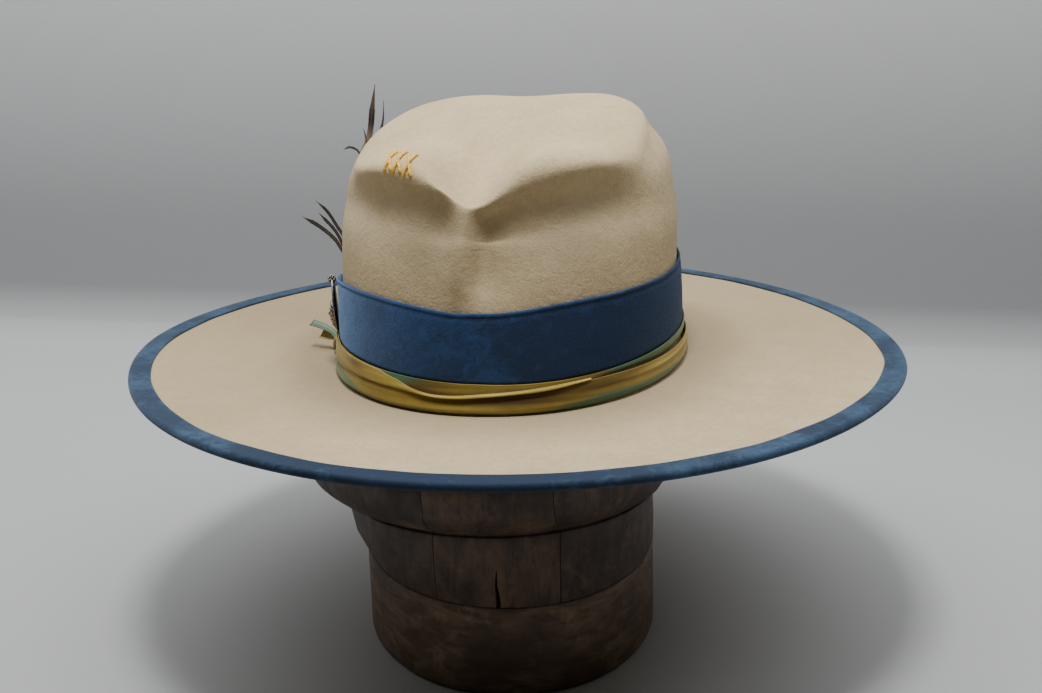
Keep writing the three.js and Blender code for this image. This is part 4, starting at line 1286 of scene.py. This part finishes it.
def blockRings():
    degrees = degreesRound(stand["around"], 0)
    table = columnsOf(blockColumns, blockRows)
    knots = np.arange(len(blockRows))
    fine = np.concatenate([np.arange(0, 3), np.linspace(3, 12, 46)])
    values = {key: spline(knots, table[key], fine)[:, 0] for key in blockColumns}
    rings = []
    for k in range(len(fine)):
        long = values["halfLength"][k]
        reach = ovalReach(np.radians(degrees), values["halfWidth"][k], long, long, 2.0)
        ring = turned(polar(degrees, reach, 0))
        ring[:, 0] -= values["shift"][k]
        ring[:, 2] = values["z"][k] + values["tip"][k] * np.cos(np.radians(degrees))
        rings.append(ring)
    rings = list(roughened(np.array(rings), *stand["blockWear"]))
    for z, inset in ((-24, 2), (-2, 1.2), (stand["plugRise"] - 3, 0.6), (stand["plugRise"], 4)):
        taper = 1 + (stand["plugTaper"] - 1) * max(0, z) / crown["bandLevel"]
        reach = footReach(degrees) * taper - stand["plugClear"] - inset
        rings.append(polar(degrees, reach, z) + (hatPlace - standPlace))
    return np.array(rings)


# A drying crack runs up the middle piece from its lower edge, wedge-shaped and a little crooked
crack = {
    "x": 14.0,
    "front": -104.0,
    "back": -84.0,
    "foot": 47.1,
    "rows": [(-5, 3.6, 0.0), (5, 2.7, 0.3), (12, 1.5, -0.3), (20, 0.5, 0.2)],  # height, width, aside
}


def cutCrack(piece):
    rings = []
    for up, width, aside in crack["rows"]:
        x, z = crack["x"] + aside, crack["foot"] + up
        rings.append([(x - width / 2, crack["front"], z), (x + width / 2, crack["front"], z),
                      (x + width / 4, crack["back"], z), (x - width / 4, crack["back"], z)])
    rings = np.array(rings)
    cutter = meshObject("crackCutter", cappedPoints(rings), cappedFaces(len(rings), 4),
                        piece.data.materials[0], standPlace)
    cut = piece.modifiers.new("crack", "BOOLEAN")
    cut.operation = "DIFFERENCE"
    cut.object = cutter
    bpy.context.view_layer.update()
    whole = bpy.data.meshes.new_from_object(piece.evaluated_get(bpy.context.evaluated_depsgraph_get()))
    piece.modifiers.clear()
    piece.data = whole
    bpy.data.objects.remove(cutter)


# Cuts the block at its upright joints and gives each piece its own closed mesh
def makeBlock(materials):
    rings = blockRings()
    points, faces = cappedPoints(rings), cappedFaces(len(rings), stand["around"])
    left, right = stand["joints"]
    spans = {"right": (None, left), "centre": (left, right), "left": (right, None)}
    for (name, (low, high)), material in zip(spans.items(), materials):
        work = bmesh.new()
        corners = [work.verts.new(p) for p in points]
        for face in faces:
            work.faces.new([corners[i] for i in face])
        bmesh.ops.recalc_face_normals(work, faces=work.faces)
        for x, keepAbove in ((low, True), (high, False)):
            if x is None:
                continue
            x += stand["gap"] / 2 * (1 if keepAbove else -1)
            cut = bmesh.ops.bisect_plane(
                work, geom=work.verts[:] + work.edges[:] + work.faces[:], dist=1e-4,
                plane_co=(x, 0, 0), plane_no=(-1 if keepAbove else 1, 0, 0), clear_outer=True)
            edges = [e for e in cut["geom_cut"] if isinstance(e, bmesh.types.BMEdge)]
            bmesh.ops.triangle_fill(work, edges=edges, use_beauty=True)
        bmesh.ops.remove_doubles(work, verts=work.verts, dist=1e-4)
        work.verts.index_update()
        cutPoints = [tuple(v.co) for v in work.verts]
        cutFaces = [tuple(v.index for v in face.verts) for face in work.faces]
        work.free()
        piece = meshObject("woodenBlock" + name.capitalize(), cutPoints, cutFaces, material,
                           standPlace)
        if name == "centre":
            cutCrack(piece)
        piece.data.set_sharp_from_angle(angle=math.radians(50))
        finishPiece(piece, "stand_block_" + name)


woodLooks = [
    {"dark": "#392e25", "light": "#5e4d3f", "worn": "#75624f", "stain": "#2a211b", "grainMm": 9,
     "stretch": (1, 1, 0.25), "scuffMm": 9, "stainMm": 30},
    {"dark": "#3f3026", "light": "#68523e", "worn": "#75614c", "stain": "#2a201a", "grainMm": 8,
     "stretch": (1, 1, 0.3), "scuffMm": 8, "stainMm": 26},
    {"dark": "#372a21", "light": "#58463a", "worn": "#766250", "stain": "#2c221c", "grainMm": 9,
     "stretch": (1, 1, 0.25), "scuffMm": 10, "stainMm": 28},
    {"dark": "#503e30", "light": "#856c55", "worn": "#9a826c", "stain": "#443326", "grainMm": 6,
     "stretch": (0.25, 0.25, 1), "scuffMm": 12, "stainMm": 34},
]
woods = [makeWood(f"agedBlockWood{i}", look) for i, look in enumerate(woodLooks)]
makeBlock(woods[:3])
makeBase(woods[3])
print("stand made")


# Pale paper for the floor, which runs up into the backdrop, with light and shade painted on it as a tone:
# darker in the bend and low on the wall, lighter higher up and on the floor near the wall, and darker towards
# the right at the back.
# Lengths of the studio and the camera are in metres.
studio = {
    "floor": "#a7a8a9",
    "before": -2.2,
    "behind": 0.47,
    "height": 1.6,
    "halfWidth": 2.5,
    "bend": 0.05,
    "shade": ((0.0, 0.02, 0.05, 0.12, 0.2, 0.3), (1.0, 0.93, 0.82, 0.83, 1.12, 1.45)),  # heights, and tones of painted light and shade
    "lean": 0.14,  # painted shade: how much darker the paper is on the right
    "paintedLightNearWall": 0.1,  # painted light: how much lighter the floor is where it nears the wall
    "columns": 21,
    "fineFrom": -0.1,  # on the floor and up the wall, where the tone changes most
    "fineTo": 0.4,
    "ambient": 0.04,
    "lights": {
        "ceiling": {"wide": 3.2, "deep": 0.8, "energy": 32, "place": (-0.25, 0.12, 1.35)},
        "lamp": {"wide": 0.22, "deep": 0.22, "energy": 12.6, "place": (0.034, -0.32, 1.245)},
    },
}


def makeStudio():
    material, tree, shader = startMaterial("paperWithPaintedLight", {"Roughness": 0.9, "Specular IOR Level": 0.1})
    colour = addNode(tree, "VectorMath", {0: toLinear(studio["floor"])[:3], "Scale": addMark(tree, "tone")},
                     operation="SCALE")
    setColour(tree, shader, colour.outputs[0])
    behind, bend, columns = studio["behind"], studio["bend"], studio["columns"]
    floorStations = np.linspace(studio["fineFrom"], behind - bend, 12)
    wallStations = np.linspace(bend, studio["fineTo"], 18)[1:]
    profile = [(studio["before"], 0.0)] + [(y, 0.0) for y in floorStations]
    for turn in np.radians(np.linspace(0, 90, 16)[1:]):
        profile.append((behind - bend + bend * math.sin(turn), bend * (1 - math.cos(turn))))
    profile += [(behind, z) for z in wallStations]
    profile.append((behind, studio["height"]))
    stations = np.linspace(-studio["halfWidth"], studio["halfWidth"], columns)
    points = np.array([(x, y, z) for y, z in profile for x in stations])
    faces = [(columns * i + k, columns * i + k + 1, columns * (i + 1) + k + 1, columns * (i + 1) + k)
             for i in range(len(profile) - 1) for k in range(columns - 1)]
    mesh = bpy.data.meshes.new("backdrop")
    mesh.from_pydata([tuple(p) for p in points], [], faces)
    # Painted light and shade on the paper, as a tone that scales its colour
    heights, tones = studio["shade"]
    x, y, z = points.T
    backwards = smoothStep(y, 0.0, 0.4)
    tone = np.interp(z, heights, tones) + studio["paintedLightNearWall"] * backwards * (z < 0.02)
    lean = studio["lean"] * np.clip(x, -1, 1) * backwards
    mesh.attributes.new("tone", "FLOAT", "POINT").data.foreach_set("value", tone - lean)
    mesh.polygons.foreach_set("use_smooth", [True] * len(mesh.polygons))
    mesh.materials.append(material)
    backdrop = bpy.data.objects.new("backdrop", mesh)
    bpy.context.scene.collection.objects.link(backdrop)
    for name, row in studio["lights"].items():
        light = bpy.data.lights.new(name, "AREA")
        light.shape = "RECTANGLE"
        light.size = row["wide"]
        light.size_y = row["deep"]
        light.energy = row["energy"]
        lamp = bpy.data.objects.new(name, light)
        lamp.location = row["place"]
        bpy.context.scene.collection.objects.link(lamp)
    world = bpy.data.worlds.new("softRoom")
    world.use_nodes = True
    sky = world.node_tree.nodes["Background"]
    sky.inputs["Color"].default_value = toLinear("#f2f3f5")
    sky.inputs["Strength"].default_value = studio["ambient"]
    bpy.context.scene.world = world


makeStudio()


# The camera stands in front of the hat, a little to its left side, and looks down on the brim
view = {
    "place": (0.1520, -0.7097, 0.3551),
    "azimuth": 12.03,
    "down": 16.24,
    "roll": -1.55,
    "lens": 50.0,
    "sensor": 36.0,
}


def makeCamera():
    azimuth, down, roll = (math.radians(view[key]) for key in ("azimuth", "down", "roll"))
    level = math.cos(down)
    forward = Vector((-math.sin(azimuth) * level, math.cos(azimuth) * level, -math.sin(down)))
    right = forward.cross(Vector((0, 0, 1))).normalized()
    up = right.cross(forward)
    right, up = right * math.cos(roll) + up * math.sin(roll), up * math.cos(roll) - right * math.sin(roll)
    data = bpy.data.cameras.new("camera")
    data.sensor_width = view["sensor"]
    data.lens = view["lens"]
    camera = bpy.data.objects.new("camera", data)
    rotation = Matrix((right, up, -forward)).transposed().to_4x4()
    camera.matrix_world = Matrix.Translation(view["place"]) @ rotation
    bpy.context.scene.collection.objects.link(camera)
    bpy.context.scene.camera = camera


makeCamera()
print("studio and camera set")
